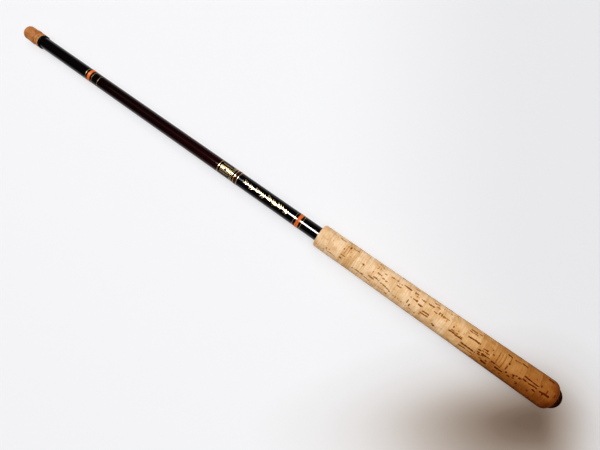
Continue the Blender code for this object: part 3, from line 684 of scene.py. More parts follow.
def plug_wood(looks):
    """Turned wood: grain along the plug under clear lacquer."""
    made = Finish("plug_wood", looks.wood, 0.5)
    made.give("Specular IOR Level", 0.08)
    grain = made.noise(1100.0, 4.0, 0.6, made.stretch(0.10, 1.0, 1.0))
    broad = made.noise(300.0, 2.0, 0.5, made.stretch(0.25, 1.0, 1.0))
    colour = made.ramp(grain, (
        (0.33, looks.wood_grain_and_shade), (0.52, looks.wood), (0.80, shade(looks.wood, 1.25))))
    colour = made.mix(made.share(broad, 0.35, 0.75, 0.0, 0.4), colour, looks.wood_grain_and_shade)
    # Painted highlights and painted shade on the turned groove and collar: place ahead of the mouth,
    # reach and strength of each line
    ahead = made.minus(made.split(made.place)["X"], MOUTH_X)
    for at, reach, strength, line in (
            (0.7, 0.8, 0.45, looks.wood_painted_highlight), (1.9, 0.8, 0.35, looks.wood_grain_and_shade),
            (4.9, 1.0, 0.60, looks.wood_painted_highlight), (6.5, 1.1, 0.55, looks.wood_grain_and_shade)):
        off = made.maths("ABSOLUTE", made.minus(ahead, at * MM))
        colour = made.mix(made.share(off, reach * MM, 0.1 * MM, 0.0, strength), colour, line)
    made.give("Base Color", colour)
    made.rough(grain, 0.3, 0.8, 0.60, 0.45)
    made.bump(grain, 0.05 * MM, 0.35)
    return made.material


def cap_lacquer(looks):
    """Dark lacquer that is rubbed a little browner towards the rim."""
    made = Finish("cap_lacquer", looks.cap, 0.38, ior=1.36)
    made.give("Specular IOR Level", 0.0)
    parts = made.split(made.place)
    across = made.vector(0.0, parts["Y"], made.minus(parts["Z"], AXIS_Z))
    reach = made.node("ShaderNodeVectorMath", {0: across}, operation="LENGTH").outputs["Value"]
    rub = made.noise(900.0, 4.0, 0.65)
    worn = made.times(made.share(reach, 8.6 * MM, 10.6 * MM), made.share(rub, 0.35, 0.7))
    colour = made.mix(worn, looks.cap, (0.050, 0.013, 0.006))
    made.give("Base Color", colour)
    made.rough(rub, 0.3, 0.8, 0.32, 0.44)
    made.bump(rub, 0.03 * MM, 0.3)
    return made.material


def turned_brass(looks):
    """Brass with the fine rings of a lathe tool."""
    made = Finish("turned_brass", looks.brass, 0.28, metallic=1.0)
    rings = made.noise(5200.0, 2.0, 0.5, made.stretch(1.0, 0.02, 0.02))
    stain = made.noise(420.0, 3.0, 0.6)
    made.give("Base Color", made.ramp(stain, (
        (0.32, shade(looks.brass, 0.72)), (0.62, looks.brass))))
    made.rough(rings, 0.3, 0.7, 0.22, 0.38)
    made.bump(rings, 0.02 * MM, 0.5)
    return made.material


def soft_rubber(looks):
    made = Finish("soft_rubber", looks.rubber, 0.68)
    grain = made.noise(1900.0, 4.0, 0.7)
    made.give("Base Color", made.ramp(grain, (
        (0.32, shade(looks.rubber, 0.6)), (0.75, shade(looks.rubber, 1.9)))))
    made.rough(grain, 0.3, 0.8, 0.58, 0.82)
    made.bump(grain, 0.05 * MM, 0.5)
    return made.material


def inner_lacquer():
    """Dark gloss over wound fibre, whose slanting turns show faintly."""
    made = Finish("inner_tube_lacquer", (0.012, 0.009, 0.009), 0.12, ior=1.52)
    wound = made.noise(900.0, 2.0, 0.5, made.stretch(1.0, 0.35, 0.35))
    made.give("Base Color", made.ramp(wound, (
        (0.35, (0.0060, 0.0045, 0.0045)), (0.70, (0.020, 0.013, 0.011)))))
    made.rough(made.noise(1500.0, 3.0, 0.6), 0.3, 0.8, 0.09, 0.2)
    made.bump(wound, 0.01 * MM, 0.5)
    return made.material


def thread_finish(name, colour):
    """Silk thread under lacquer: darker and lighter turns."""
    made = Finish(name, colour, 0.34, coat=0.15)
    made.give("Specular IOR Level", 0.1)
    turns = made.noise(2600.0, 2.0, 0.5, made.stretch(1.0, 0.06, 0.06))
    fibre = made.noise(3600.0, 2.0, 0.6, made.stretch(1.0, 0.3, 0.3))
    base = made.ramp(turns, ((0.30, shade(colour, 0.70)), (0.70, shade(colour, 1.12))))
    made.give("Base Color", made.mix(
        made.share(fibre, 0.5, 0.8, 0.0, 0.35), base, shade(colour, 0.5)))
    made.rough(fibre, 0.3, 0.7, 0.24, 0.40)
    made.bump(fibre, 0.03 * MM, 0.4)
    return made.material


def gold_finish(looks):
    """Gold leaf: bright metal with a fine grain and browner thin places."""
    made = Finish("gold_leaf", looks.gold, 0.26, metallic=0.7)
    thin = made.noise(1200.0, 4.0, 0.65)
    made.give("Base Color", made.ramp(thin, (
        (0.28, (0.36, 0.19, 0.06)), (0.50, shade(looks.gold, 0.8)), (0.70, looks.gold))))
    made.rough(thin, 0.3, 0.7, 0.32, 0.22)
    made.bump(thin, 0.03 * MM, 0.5)
    return made.material


FINISHES = {}


def make_finishes(scene):
    """All materials, by the names that the pieces use."""
    tube = scene.keiryu_tube
    ends = scene.keiryu_ends
    FINISHES.update(
        butt=butt_lacquer(tube), mouth_ring=ring_lacquer(), cork=sanded_cork(scene.keiryu_cork),
        plug=plug_wood(ends), cap=cap_lacquer(ends), brass=turned_brass(ends),
        rubber=soft_rubber(ends), inner=inner_lacquer(),
        orange=thread_finish("orange_thread", tube.orange),
        red=thread_finish("red_thread", tube.red), gold=gold_finish(tube))


class GrowthTree(NodeBook):
    """A Geometry Nodes tree with named inputs, a material among them."""

    def __init__(self, name, floats, whole=()):
        self.tree = bpy.data.node_groups.new(name, "GeometryNodeTree")
        super().__init__(self.tree)
        face = self.tree.interface
        face.new_socket("Geometry", in_out="INPUT", socket_type="NodeSocketGeometry")
        sockets = [(label, "Float") for label in floats] + [(label, "Int") for label in whole]
        for label, kind in (*sockets, ("Material", "Material")):
            face.new_socket(label, in_out="INPUT", socket_type="NodeSocket" + kind)
        face.new_socket("Geometry", in_out="OUTPUT", socket_type="NodeSocketGeometry")
        self.given = self.nodes.new("NodeGroupInput").outputs
        self.end = self.nodes.new("NodeGroupOutput")

    def add(self, kind, inputs):
        """A Geometry node's first output."""
        return self.node("GeometryNode" + kind, inputs).outputs[0]

    def position(self):
        return self.split(self.node("GeometryNodeInputPosition").outputs["Position"])

    def finish(self, geometry, smooth=True):
        """Shade, make real, give the material and hand out."""
        shaded = self.add("SetShadeSmooth", {"Geometry": geometry, "Shade Smooth": smooth})
        real = self.add("RealizeInstances", {"Geometry": shaded})
        done = self.add("SetMaterial", {"Geometry": real, "Material": self.given["Material"]})
        self.links.new(done, self.end.inputs[0])
        return self.tree

    def wrap(self, geometry):
        """Lay flat shapes on the tube: x along it, y round it as an arc, z above it."""
        place = self.position()
        ahead = self.minus(self.given["Mouth X"], place["X"])
        surface = self.plus(self.given["Mouth radius"], self.times(ahead, self.given["Taper"]))
        turn = self.over(place["Y"], surface)
        reach = self.plus(surface, place["Z"])
        y = self.times(reach, self.maths("SINE", turn))
        z = self.times(reach, self.maths("COSINE", turn))
        z = self.plus(z, self.given["Axis Z"])
        wrapped = self.vector(place["X"], y, z)
        real = self.add("RealizeInstances", {"Geometry": geometry})
        return self.add("SetPosition", {"Geometry": real, "Position": wrapped})


# The inputs that the trees of the gold work share, and their values
TUBE_VALUES = {
    "Mouth X": MOUTH_X, "Mouth radius": MOUTH_RADIUS, "Taper": TUBE_SLOPE, "Axis Z": AXIS_Z,
}


def grown_object(name, tree, values, finish, points=()):
    """Run a tree on a few points and keep its result as a plain mesh."""
    base = bpy.data.meshes.new(name)
    base.from_pydata([tuple(point) for point in points], [], [])
    made = new_object(name, base)
    modifier = made.modifiers.new("Growth", "NODES")
    modifier.node_group = tree
    values = dict(values, Material=finish)
    for item in tree.interface.items_tree:
        if item.in_out == "INPUT" and item.name in values:
            modifier[item.identifier] = values[item.name]
    graph = bpy.context.evaluated_depsgraph_get()
    plain = bpy.data.meshes.new_from_object(made.evaluated_get(graph))
    made.modifiers.remove(modifier)
    made.data = plain
    if not plain.polygons:
        raise RuntimeError(name + " came out empty")
    return made


def winding_tree():
    """Thread wound side by side round a taper, from Start X towards the mouth."""
    made = GrowthTree("thread_winding", (
        "Start X", "Length", "Thread", "Start radius", "End radius", "Axis Z"), ("Steps",))
    given = made.given
    turns = made.over(given["Length"], given["Thread"])
    spiral = made.add("CurveSpiral", {
        "Resolution": given["Steps"], "Rotations": turns, "Start Radius": given["Start radius"],
        "End Radius": given["End radius"], "Height": given["Length"]})
    half = made.times(given["Thread"], 0.5)
    section = made.add("CurvePrimitiveCircle", {"Resolution": 6, "Radius": half})
    cord = made.add("CurveToMesh", {"Curve": spiral, "Profile Curve": section, "Fill Caps": True})
    laid = made.add("Transform", {
        "Geometry": cord, "Rotation": (0.0, math.pi / 2, 0.0),
        "Translation": made.vector(given["Start X"], 0.0, given["Axis Z"])})
    return made.finish(laid)


def line_tree():
    """A thin raised gold line round the tube at each given point."""
    made = GrowthTree("gold_lines", (*TUBE_VALUES, "Width", "Height"))
    given = made.given
    ahead = made.minus(given["Mouth X"], made.position()["X"])
    growth = made.over(made.times(ahead, given["Taper"]), given["Mouth radius"])
    size = made.plus(growth, 1.0)
    circle = made.add("CurvePrimitiveCircle", {"Resolution": 96, "Radius": given["Mouth radius"]})
    section = made.add("CurvePrimitiveCircle", {"Resolution": 10, "Radius": 1.0})
    # The section's own x lies across the line's curve, and its y along the rod
    flat = made.add("Transform", {
        "Geometry": section,
        "Scale": made.vector(given["Height"], made.times(given["Width"], 0.5), 1.0)})
    band = made.add("CurveToMesh", {"Curve": circle, "Profile Curve": flat})
    upright = made.add("Transform", {"Geometry": band, "Rotation": (0.0, math.pi / 2, 0.0)})
    placed = made.add("InstanceOnPoints", {
        "Points": given["Geometry"], "Instance": upright,
        "Scale": made.vector(1.0, size, size)})
    return made.finish(placed)


def tile_tree():
    """Small gold tiles in columns along the tube and rows round it, with an oval left out."""
    made = GrowthTree("gold_tiles", (
        *TUBE_VALUES, "Centre X", "Centre arc", "Column pitch", "Row pitch", "Tile length",
        "Tile width", "Tile height", "Tile turn", "Hole length", "Hole width"), ("Columns", "Rows"))
    given = made.given
    length = made.times(made.minus(given["Columns"], 1), given["Column pitch"])
    width = made.times(made.minus(given["Rows"], 1), given["Row pitch"])
    grid = made.add("MeshGrid", {
        "Size X": length, "Size Y": width, "Vertices X": given["Columns"], "Vertices Y": given["Rows"]})
    place = made.position()
    off_x = made.times(place["X"], given["Hole width"])
    off_y = made.times(place["Y"], given["Hole length"])
    oval = made.times(given["Hole width"], given["Hole length"])
    square = made.plus(made.maths("POWER", off_x, 2.0), made.maths("POWER", off_y, 2.0))
    inside = made.maths("LESS_THAN", made.maths("SQRT", square), oval)
    kept = made.add("DeleteGeometry", {"Geometry": grid, "Selection": inside})
    tile = made.add("MeshCube", {
        "Size": made.vector(given["Tile length"], given["Tile width"], given["Tile height"]),
        "Vertices X": 3, "Vertices Y": 4, "Vertices Z": 2})
    turn = made.vector(0.0, 0.0, given["Tile turn"])
    tiles = made.add("InstanceOnPoints", {"Points": kept, "Instance": tile, "Rotation": turn})
    moved = made.add("Transform", {
        "Geometry": tiles,
        "Translation": made.vector(given["Centre X"], given["Centre arc"], 0.0)})
    return made.finish(made.wrap(moved), smooth=False)


def sprig_tree():
    """A row of small leafy sprigs in raised gold, each turned and sized a little differently."""
    made = GrowthTree("leaf_sprigs", (
        *TUBE_VALUES, "Leaf length", "Leaf width", "Leaf height", "Leaf angle", "Stem length"),
        ("Leaves", "Seed"))
    given = made.given
    ball = made.add("MeshUVSphere", {"Segments": 8, "Rings": 8, "Radius": 0.5})
    lying = made.add("Transform", {"Geometry": ball, "Rotation": (0.0, math.pi / 2, 0.0)})
    place = made.position()
    twice = made.times(place["X"], 2.0)
    taper = made.minus(1.0, made.times(twice, twice))
    taper = made.maths("SQRT", made.maths("MAXIMUM", taper, 0.0))
    pointed = made.vector(place["X"], made.times(place["Y"], taper), place["Z"])
    lens = made.add("SetPosition", {"Geometry": lying, "Position": pointed})
    leaf = made.add("Transform", {
        "Geometry": lens,
        "Translation": made.vector(made.times(given["Leaf length"], 0.5), 0.0, 0.0),
        "Scale": made.vector(given["Leaf length"], given["Leaf width"], given["Leaf height"])})
    stem_width = made.times(given["Leaf width"], 0.4)
    stem = made.add("Transform", {
        "Geometry": lens,
        "Scale": made.vector(given["Stem length"], stem_width, given["Leaf height"])})
    half_stem = made.times(given["Stem length"], 0.42)
    step = made.over(made.times(half_stem, 2.0), made.minus(given["Leaves"], 1))
    buds = made.add("MeshLine", {
        "Count": given["Leaves"], "Offset": made.vector(step, 0.0, 0.0),
        "Start Location": made.vector(made.times(half_stem, -1.0), 0.0, 0.0)})
    index = made.node("GeometryNodeInputIndex").outputs["Index"]
    side = made.minus(made.times(made.maths("MODULO", index, 2.0), 2.0), 1.0)
    lean = made.times(side, given["Leaf angle"])
    leaves = made.add("InstanceOnPoints", {
        "Points": buds, "Instance": leaf,
        "Rotation": made.vector(0.0, 0.0, lean)})
    sprig = made.node("GeometryNodeJoinGeometry")
    made.links.new(leaves, sprig.inputs[0])
    made.links.new(stem, sprig.inputs[0])
    spin = made.node("FunctionNodeRandomValue", {
        "Min": (0.0, 0.0, -0.75), "Max": (0.0, 0.0, 0.75), "Seed": given["Seed"]},
        data_type="FLOAT_VECTOR")
    grow = made.node("FunctionNodeRandomValue", {
        2: 0.80, 3: 1.12, "Seed": made.plus(given["Seed"], 5.0)}, data_type="FLOAT")
    row = made.add("InstanceOnPoints", {
        "Points": given["Geometry"], "Instance": sprig.outputs[0],
        "Rotation": spin.outputs[0], "Scale": grow.outputs[1]})
    return made.finish(made.wrap(row))


TREES = {}


def add_winding(name, body, start, end, start_radius, end_radius, finish, *nodes):
    """One whipping of thread, from start to end, which lies nearer to the mouth."""
    thread = bpy.context.scene.keiryu_tube.thread
    if "winding" not in TREES:
        TREES["winding"] = winding_tree()
    inset = thread / 2
    made = grown_object(name, TREES["winding"], {
        "Start X": start + inset, "Length": end - start - thread, "Thread": thread,
        "Start radius": start_radius, "End radius": end_radius, "Axis Z": AXIS_Z, "Steps": 48,
    }, FINISHES[finish])
    place_piece(made, body, "whipping", *nodes)


def add_gold(name, tree, values, points=()):
    """Gold work on the butt tube, grown by one of the trees that lie on it."""
    made = grown_object(name, tree, {**TUBE_VALUES, **values}, FINISHES["gold"], points)
    place_piece(made, "handle", "brass")


class KEIRYU_OT_butt_tube(Operator):
    """The lacquered butt tube, round outside and in"""
    bl_idname = "keiryu.butt_tube"
    bl_label = "Butt tube"

    def execute(self, context):
        low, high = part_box("butt_tube")
        outside = even_points((low.x, tube_radius(low.x)), (high.x, tube_radius(high.x)), 8 * MM)
        inside = even_points((high.x, tube_bore(high.x)), (low.x, tube_bore(low.x)), 16 * MM)
        turned_piece(
            "butt_tube_lacquered", outside + inside, "butt", "handle", "lacquered_tube", "butt_tube")
        return {"FINISHED"}


class KEIRYU_OT_mouth_ring(Operator):
    """The black ring that binds the mouth, with a rounded edge and a lip"""
    bl_idname = "keiryu.mouth_ring"
    bl_label = "Mouth ring"

    def execute(self, context):
        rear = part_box("mouth_ring")[0].x
        high = radius_of("mouth_ring") - RING_EDGE
        inner = tube_radius(rear) + GLUE_GAP
        lip = BORE_AT_MOUTH + GLUE_GAP
        half = math.pi / 2
        rim = 0.15 * MM
        outline = arc_points(rear + RING_EDGE, high, RING_EDGE, 2 * half, half, 8)
        outline += arc_points(MOUTH_X - RING_EDGE, high, RING_EDGE, half, 0, 8)
        outline += [(MOUTH_X, lip + rim), (MOUTH_X - rim, lip), (MOUTH_X - RING_LIP, lip)]
        outline += [(MOUTH_X - RING_LIP, inner), (rear, inner)]
        turned_piece(
            "mouth_binding", outline, "mouth_ring", "handle", "mouth_ring_black", "mouth_ring")
        return {"FINISHED"}


def ring_outline(index, front, rear, spacing):
    """Outline of a cork ring, with its outer rows first. Gives the points and their count."""
    first = index == 1
    last = index == RING_COUNT
    near = GRIP_FRONT_X - front - (0 if first else GLUE_GAP)
    far = GRIP_FRONT_X - rear + (0 if last else GLUE_GAP)
    outer = []
    start = near - RING_BREAK
    if first:
        full = grip_radius(front + SHOULDER)
        outer += arc_points(near - SHOULDER, full - SHOULDER, SHOULDER, 0, math.pi / 2, 10)[:-1]
        start = near - SHOULDER
    else:
        outer.append((near, grip_radius(front) - RING_BREAK))
    stop = far + RING_BREAK
    reach = END_ARC * math.sin(END_TURN)
    if last:
        stop = far + reach
    rows = max(2, math.ceil((start - stop) / spacing))
    for row in range(rows + 1):
        x = start + (stop - start) * row / rows
        outer.append((x, grip_radius(GRIP_FRONT_X - x)))
    if last:
        outer += arc_points(
            far + reach, GRIP_REAR_RADIUS - END_ARC, END_ARC,
            math.pi / 2, math.pi / 2 + END_TURN, 26)[1:]
        over_ferrule = radius_of("butt_ferrule") + GLUE_GAP
        step_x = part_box("butt_ferrule")[1].x + GLUE_GAP
        inner = [(far, over_ferrule + 0.2 * MM), (far + 0.2 * MM, over_ferrule)]
        inner += [(step_x, over_ferrule), (step_x, tube_radius(step_x) + GLUE_GAP)]
    else:
        outer.append((far, grip_radius(rear) - RING_BREAK))
        middle = (grip_radius(rear) + tube_radius(far)) / 2
        inner = [(far, middle), (far, tube_radius(far) + GLUE_GAP)]
    inner.append((near, tube_radius(near) + GLUE_GAP))
    if not first:
        inner.append((near, (grip_radius(front) + tube_radius(near)) / 2))
    return outer + inner, len(outer)


def ring_marks(index, length, looks):
    """Marks of a ring in mm and degrees: those on the seen side, and seeded ones elsewhere."""
    rng = np.random.default_rng(looks.seed * 100 + index)
    marks = list(SEEN_MARKS[index])
    long_mm = length / MM
    for _ in range(looks.hidden_marks):
        size = rng.uniform(2.0, 10.0)
        start = rng.uniform(0.0, max(1.0, long_mm - size))
        angle = rng.uniform(SEEN_HALF_ANGLE, 360 - SEEN_HALF_ANGLE)
        marks.append((start, size, angle, rng.uniform(0.9, 1.8), rng.uniform(0.4, 1.0)))
    for _ in range(looks.pits):
        size = rng.uniform(0.4, 0.9)
        angle = rng.uniform(0.0, 360.0)
        marks.append((rng.uniform(0.0, long_mm), size, angle, size, rng.uniform(0.2, 0.6)))
    return marks, rng


def pore_field(marks, along, turns, radii, rng):
    """How deep each point lies in a mark, and how dark that mark is.

    The depth is 1 on the mark's middle line, 0 at its edge and -1 well outside.
    """
    field = np.full(along.shape, -1.0)
    darkness = np.zeros(along.shape)
    for start, length, angle, width, dark in marks:
        phase = rng.uniform(0, 2 * math.pi, 3)
        wander = 0.22 * np.sin(along / 2.3 + phase[0]) if length > width else 0.0
        swell = 1.15
        if length > width:
            swell = 1.12 + 0.16 * np.sin(along * 2.1 + phase[1]) + 0.10 * np.sin(along * 4.7 + phase[2])
        off = (turns - math.radians(angle) + math.pi) % (2 * math.pi) - math.pi
        across = np.abs(off * radii / MM + wander) / swell
        beside = np.abs(along - start - length / 2)
        soft = min(length, width) / 2
        out = np.hypot(
            np.maximum(beside - length / 2 + soft, 0), np.maximum(across - width / 2 + soft, 0))
        depth = np.clip(1 - out / soft, -1, 1)
        darkness = np.where(np.maximum(depth, 0) * dark > np.maximum(field, 0) * darkness, dark, darkness)
        field = np.maximum(field, depth)
    return field, darkness


class KEIRYU_OT_grip(Operator):
    """The seventeen cork rings, each with its own marks, pits and tone, the rear tones partly painted
    shade
    """
    bl_idname = "keiryu.grip"
    bl_label = "Cork grip"

    def execute(self, context):
        looks = context.scene.keiryu_cork
        sides = 2 * round(math.pi * GRIP_REAR_RADIUS / looks.spacing)
        for index in range(1, RING_COUNT + 1):
            node = f"cork_ring_{index:02d}"
            low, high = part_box(node)
            front = GRIP_FRONT_X - high.x - (0 if index == 1 else GLUE_GAP)
            rear = GRIP_FRONT_X - low.x + (0 if index == RING_COUNT else GLUE_GAP)
            outline, outer_rows = ring_outline(index, front, rear, looks.spacing)
            marks, rng = ring_marks(index, rear - front, looks)
            found = {}

            def sink(xs, rs, turns):
                along = (GRIP_FRONT_X - front - xs) / MM
                field, darkness = pore_field(marks, along, turns, rs, rng)
                field[outer_rows:] = -1.0
                found["pore"] = field
                found["bark"] = darkness
                depth = np.clip(field * 1.4 + 0.2, 0, 1) * darkness * looks.pore_depth
                depth[0] = 0
                depth[outer_rows - 1:] = 0
                return rs - depth

            name = f"grip_ring_{index:02d}"
            mesh = turned_mesh(name, outline, sides, closed=True, shape=sink)
            tone, growth = RING_LOOKS[index - 1]
            for label, value in (("own", float(index)), ("tone", tone), ("growth", growth)):
                found[label] = np.full(found["pore"].shape, value)
            for label, values in found.items():
                held = mesh.attributes.new(label, "FLOAT", "POINT")
                held.data.foreach_set("value", values.astype(np.float32).ravel())
            made = plain_object(name, mesh, FINISHES["cork"])
            place_piece(made, "handle", "cork", node)
        return {"FINISHED"}


def thread_radius(xs, turns, crest, extra):
    """Radius of the screw thread at a place and angle. Extra is the nut's room."""
    shift = THREAD_PITCH * (turns / (2 * math.pi) + 0.5 / CAD_SIDES)
    off = (xs - GRIP_REAR_X + shift + THREAD_PITCH / 2) % THREAD_PITCH - THREAD_PITCH / 2
    share = np.clip((np.abs(off) - crest / 2) / THREAD_FLANK, 0, 1)
    return THREAD_OUTER + extra + (THREAD_INNER - THREAD_OUTER) * share


class KEIRYU_OT_ferrule(Operator):
    """The brass ferrule with its inner thread"""
    bl_idname = "keiryu.ferrule"
    bl_label = "Butt ferrule"

    def execute(self, context):
        low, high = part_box("butt_ferrule")
        outside = radius_of("butt_ferrule")
        bore = THREAD_INNER + THREAD_ROOM
        tube_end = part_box("butt_tube")[0].x
        socket = tube_radius(tube_end) + GLUE_GAP
        step_x = low.x + THREADED_DEPTH + 0.4 * MM
        rim = 0.15 * MM
        outline = [(low.x, outside - rim), (low.x + rim, outside), (high.x - rim, outside)]
        outline += [(high.x, outside - rim), (high.x, socket), (step_x, socket), (step_x, bore)]
        threaded = even_points((low.x + THREADED_DEPTH, bore), (low.x + 0.01 * MM, bore), THREAD_ROW)
        first = len(outline)
        outline += threaded
        last = len(outline)
        outline.append((low.x, THREAD_OUTER + THREAD_ROOM + 0.1 * MM))

        def cut_thread(xs, rs, turns):
            cut = thread_radius(xs, turns, THREAD_CREST + 2 * FLANK_ROOM, THREAD_ROOM)
            rs[first:last] = np.maximum(rs[first:last], cut[first:last])
            rs[first] = bore
            return rs

        turned_piece(
            "threaded_ferrule", outline, "brass", "handle", "brass", "butt_ferrule", shape=cut_thread)
        return {"FINISHED"}


class KEIRYU_OT_cap(Operator):
    """The domed screw cap with its stem, pad and seal"""
    bl_idname = "keiryu.cap"
    bl_label = "Cap, pad and seal"

    def execute(self, context):
        radius = radius_of("butt_cap")
        face_x = GRIP_REAR_X - 0.1 * MM
        stem_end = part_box("butt_cap")[1].x
        height = GRIP_REAR_X - CAP_END_X
        dome = (radius ** 2 + height ** 2) / (2 * height)
        spread = math.asin(radius / dome)
        outline = [(CAP_END_X, 0)]
        steps = 28
        for step in range(1, steps):
            turn = spread * step / steps
            outline.append((CAP_END_X + dome * (1 - math.cos(turn)), dome * math.sin(turn)))
        rim = 0.12 * MM
        outline += [(face_x - rim, radius), (face_x, radius - rim)]
        recess = radius_of("butt_ferrule")
        floor_x = face_x - 1.0 * MM
        outline += [(face_x, recess), (floor_x, recess), (floor_x, THREAD_INNER + THREAD_ROOM)]
        outline.append((face_x, THREAD_INNER))
        first = len(outline)
        outline += even_points(
            (face_x + 0.1 * MM, THREAD_INNER), (stem_end - 0.05 * MM, THREAD_INNER), THREAD_ROW)
        last = len(outline)
        socket = 6.0 * MM
        end_radius = THREAD_INNER - 0.3 * MM
        socket_x = stem_end - 0.6 * MM
        outline += [(stem_end, end_radius), (stem_end, socket), (socket_x, socket), (socket_x, 0)]

        def cut_thread(xs, rs, turns):
            cut = thread_radius(xs, turns, THREAD_CREST, 0.0)
            run_in = THREAD_INNER + (xs - face_x)
            run_out = end_radius + (stem_end - xs)
            shaped = np.minimum(np.minimum(cut, run_in), run_out)
            rs[first:last] = shaped[first:last]
            return rs

        turned_piece(
            "screw_cap", outline, "cap", "cap", "cap_lacquer", "butt_cap", False, cut_thread)

        low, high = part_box("cap_cushion")
        wide = radius_of("cap_cushion")
        step_x = stem_end + GLUE_GAP
        edge = 0.5 * MM
        quarter = math.pi / 2
        inner = socket - GLUE_GAP
        outline = [(low.x, 0), (low.x, inner), (step_x, inner), (step_x, wide - 0.2 * MM)]
        outline += arc_points(high.x - edge, wide - edge, edge, quarter, 0, 8)
        outline += [(high.x, wide - 1.5 * MM), (high.x - 0.05 * MM, wide * 0.5), (high.x - 0.06 * MM, 0)]
        pad = turned_piece(
            "stem_pad", outline, "rubber", "cap", "soft_rubber", "cap_cushion", False)

        low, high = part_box("cap_seal")
        half = (high.x - low.x) / 2
        ring = radius_of("cap_seal") - half
        outline = arc_points(low.x + half, ring, half, 0, 2 * math.pi, 16)[:-1]
        turned_piece("seal_ring", outline, "rubber", "seal", "soft_rubber", "cap_seal")
        return {"FINISHED"}


class KEIRYU_OT_inner_tubes(Operator):
    """The five sliding tubes, each with its thread whipping"""
    bl_idname = "keiryu.inner_tubes"
    bl_label = "Inner tubes"

    def execute(self, context):
        for number, wall in enumerate(INNER_WALLS, start=2):
            tube = f"section_{number}_tube"
            body = f"section_{number}"
            low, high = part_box(tube)
            base = radius_of(tube)
            tip = base - INNER_TAPER * (high.x - low.x)
            rim = wall * 0.3
            outside = even_points((low.x + rim, base - INNER_TAPER * rim), (high.x - rim, tip), 12 * MM)
            inside = even_points((high.x, tip - wall), (low.x, base - wall), 24 * MM)
            outline = [(low.x, base - rim)] + outside + [(high.x, tip - rim)] + inside
            turned_piece(f"{body}_lacquered", outline, "inner", body, "inner_tube", tube)

            whipping = f"section_{number}_whipping"
            near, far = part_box(whipping)
            half = context.scene.keiryu_tube.thread / 2
            start = base - INNER_TAPER * (near.x - low.x) + half
            end = base - INNER_TAPER * (far.x - low.x) + half
            add_winding(f"{body}_thread", body, near.x, far.x, start, end, "red", whipping)
        return {"FINISHED"}


class KEIRYU_OT_tip(Operator):
    """The solid tip and the brass socket that takes the line"""
    bl_idname = "keiryu.tip"
    bl_label = "Tip and socket"

    def execute(self, context):
        sides = context.scene.keiryu_tube.sides // 2
        low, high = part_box("tip_section")
        seat, end = (corner.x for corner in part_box("tip_socket"))
        base = radius_of("tip_section")
        thin = 0.45 * MM
        rim = 0.1 * MM
        outline = [(low.x, 0), (low.x, base - rim)]
        outline += even_points((low.x + rim, base), (seat, thin), 12 * MM)
        outline += [(high.x - rim, thin), (high.x, thin - rim), (high.x, 0)]
        turned_piece(
            "tip_lacquered", outline, "inner", "tip", "inner_tube", "tip_section", False, sides=sides)

        wide = radius_of("tip_socket")
        bore = 0.55 * MM
        edge = 0.12 * MM
        outline = [(seat, bore), (seat, wide - edge), (seat + edge, wide), (end - 1.5 * MM, wide)]
        outline += [(end - 1.3 * MM, wide - edge), (end - 1.0 * MM, wide - edge), (end - 0.8 * MM, wide)]
        outline += [(end - edge, wide), (end, wide - edge), (end, bore + edge / 2), (end - edge, bore)]
        turned_piece("line_socket", outline, "brass", "tip", "brass", "tip_socket", sides=sides)
        return {"FINISHED"}


class KEIRYU_OT_plug(Operator):
    """The turned plug and the soft sleeve on its stem"""
    bl_idname = "keiryu.plug"
    bl_label = "Mouth plug"

    def execute(self, context):
        stem_end = MOUTH_X - STEM_LENGTH
        bore_end = stem_end + STEM_BORE_DEPTH
        seat = MOUTH_X + PLUG_SEAT
        collar = PLUG_PLACES[0][1]
        rim = 0.3 * MM
        outline = [(bore_end, 0), (bore_end, STEM_BORE), (stem_end, STEM_BORE)]
        outline += [(stem_end, STEM_RADIUS - rim), (stem_end + rim, STEM_RADIUS), (seat, STEM_RADIUS)]
        outline += arc_points(seat + PLUG_EDGE, collar - PLUG_EDGE, PLUG_EDGE, math.pi, math.pi / 2, 5)
        outline += blend_points([(MOUTH_X + ahead, r) for ahead, r in PLUG_PLACES], 14)
        head = PLUG_PLACES[-1][1]
        outline += even_points(
            (MOUTH_X + PLUG_PLACES[-1][0], head), (PLUG_END_X - PLUG_END_ARC, head), 1.5 * MM)[1:]
        outline += arc_points(
            PLUG_END_X - PLUG_END_ARC, head - PLUG_END_ARC, PLUG_END_ARC, math.pi / 2, 0, 18)[1:]
        outline += [(PLUG_END_X, 2.0 * MM), (PLUG_END_X, 0)]
        turned_piece("turned_plug", outline, "plug", "plug", "plug_wood", "mouth_plug", False)

        low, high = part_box("plug_sleeve")
        wide = radius_of("plug_sleeve")
        inner = STEM_RADIUS + GLUE_GAP
        lead = 1.5 * MM
        drop = 0.4 * MM
        rib = 0.12 * MM
        outline = [(low.x, inner), (low.x, wide - drop), (low.x + lead, wide)]
        count = 4
        pitch = (high.x - low.x - lead) / count
        for index in range(count):
            start = low.x + lead + index * pitch
            for share, radius in ((0.3, wide), (0.5, wide - rib), (0.7, wide)):
                outline.append((start + share * pitch, radius))
        outline += [(high.x - rib, wide), (high.x, wide - rib), (high.x, inner)]
        turned_piece("soft_sleeve", outline, "rubber", "plug", "soft_rubber", "plug_sleeve")
        return {"FINISHED"}


class KEIRYU_OT_bands(Operator):
    """The two orange bands and the dark red one, wound in thread"""
    bl_idname = "keiryu.bands"
    bl_label = "Thread bands"

    def execute(self, context):
        bands = (("front_band", FRONT_BAND, "orange"), ("red_band", RED_BAND, "red"),
                 ("rear_band", REAR_BAND, "orange"))
        for name, (near, far), finish in bands:
            start = MOUTH_X - far
            end = MOUTH_X - near
            add_winding(
                name, "handle", start, end, tube_radius(start), tube_radius(end), finish)
        return {"FINISHED"}


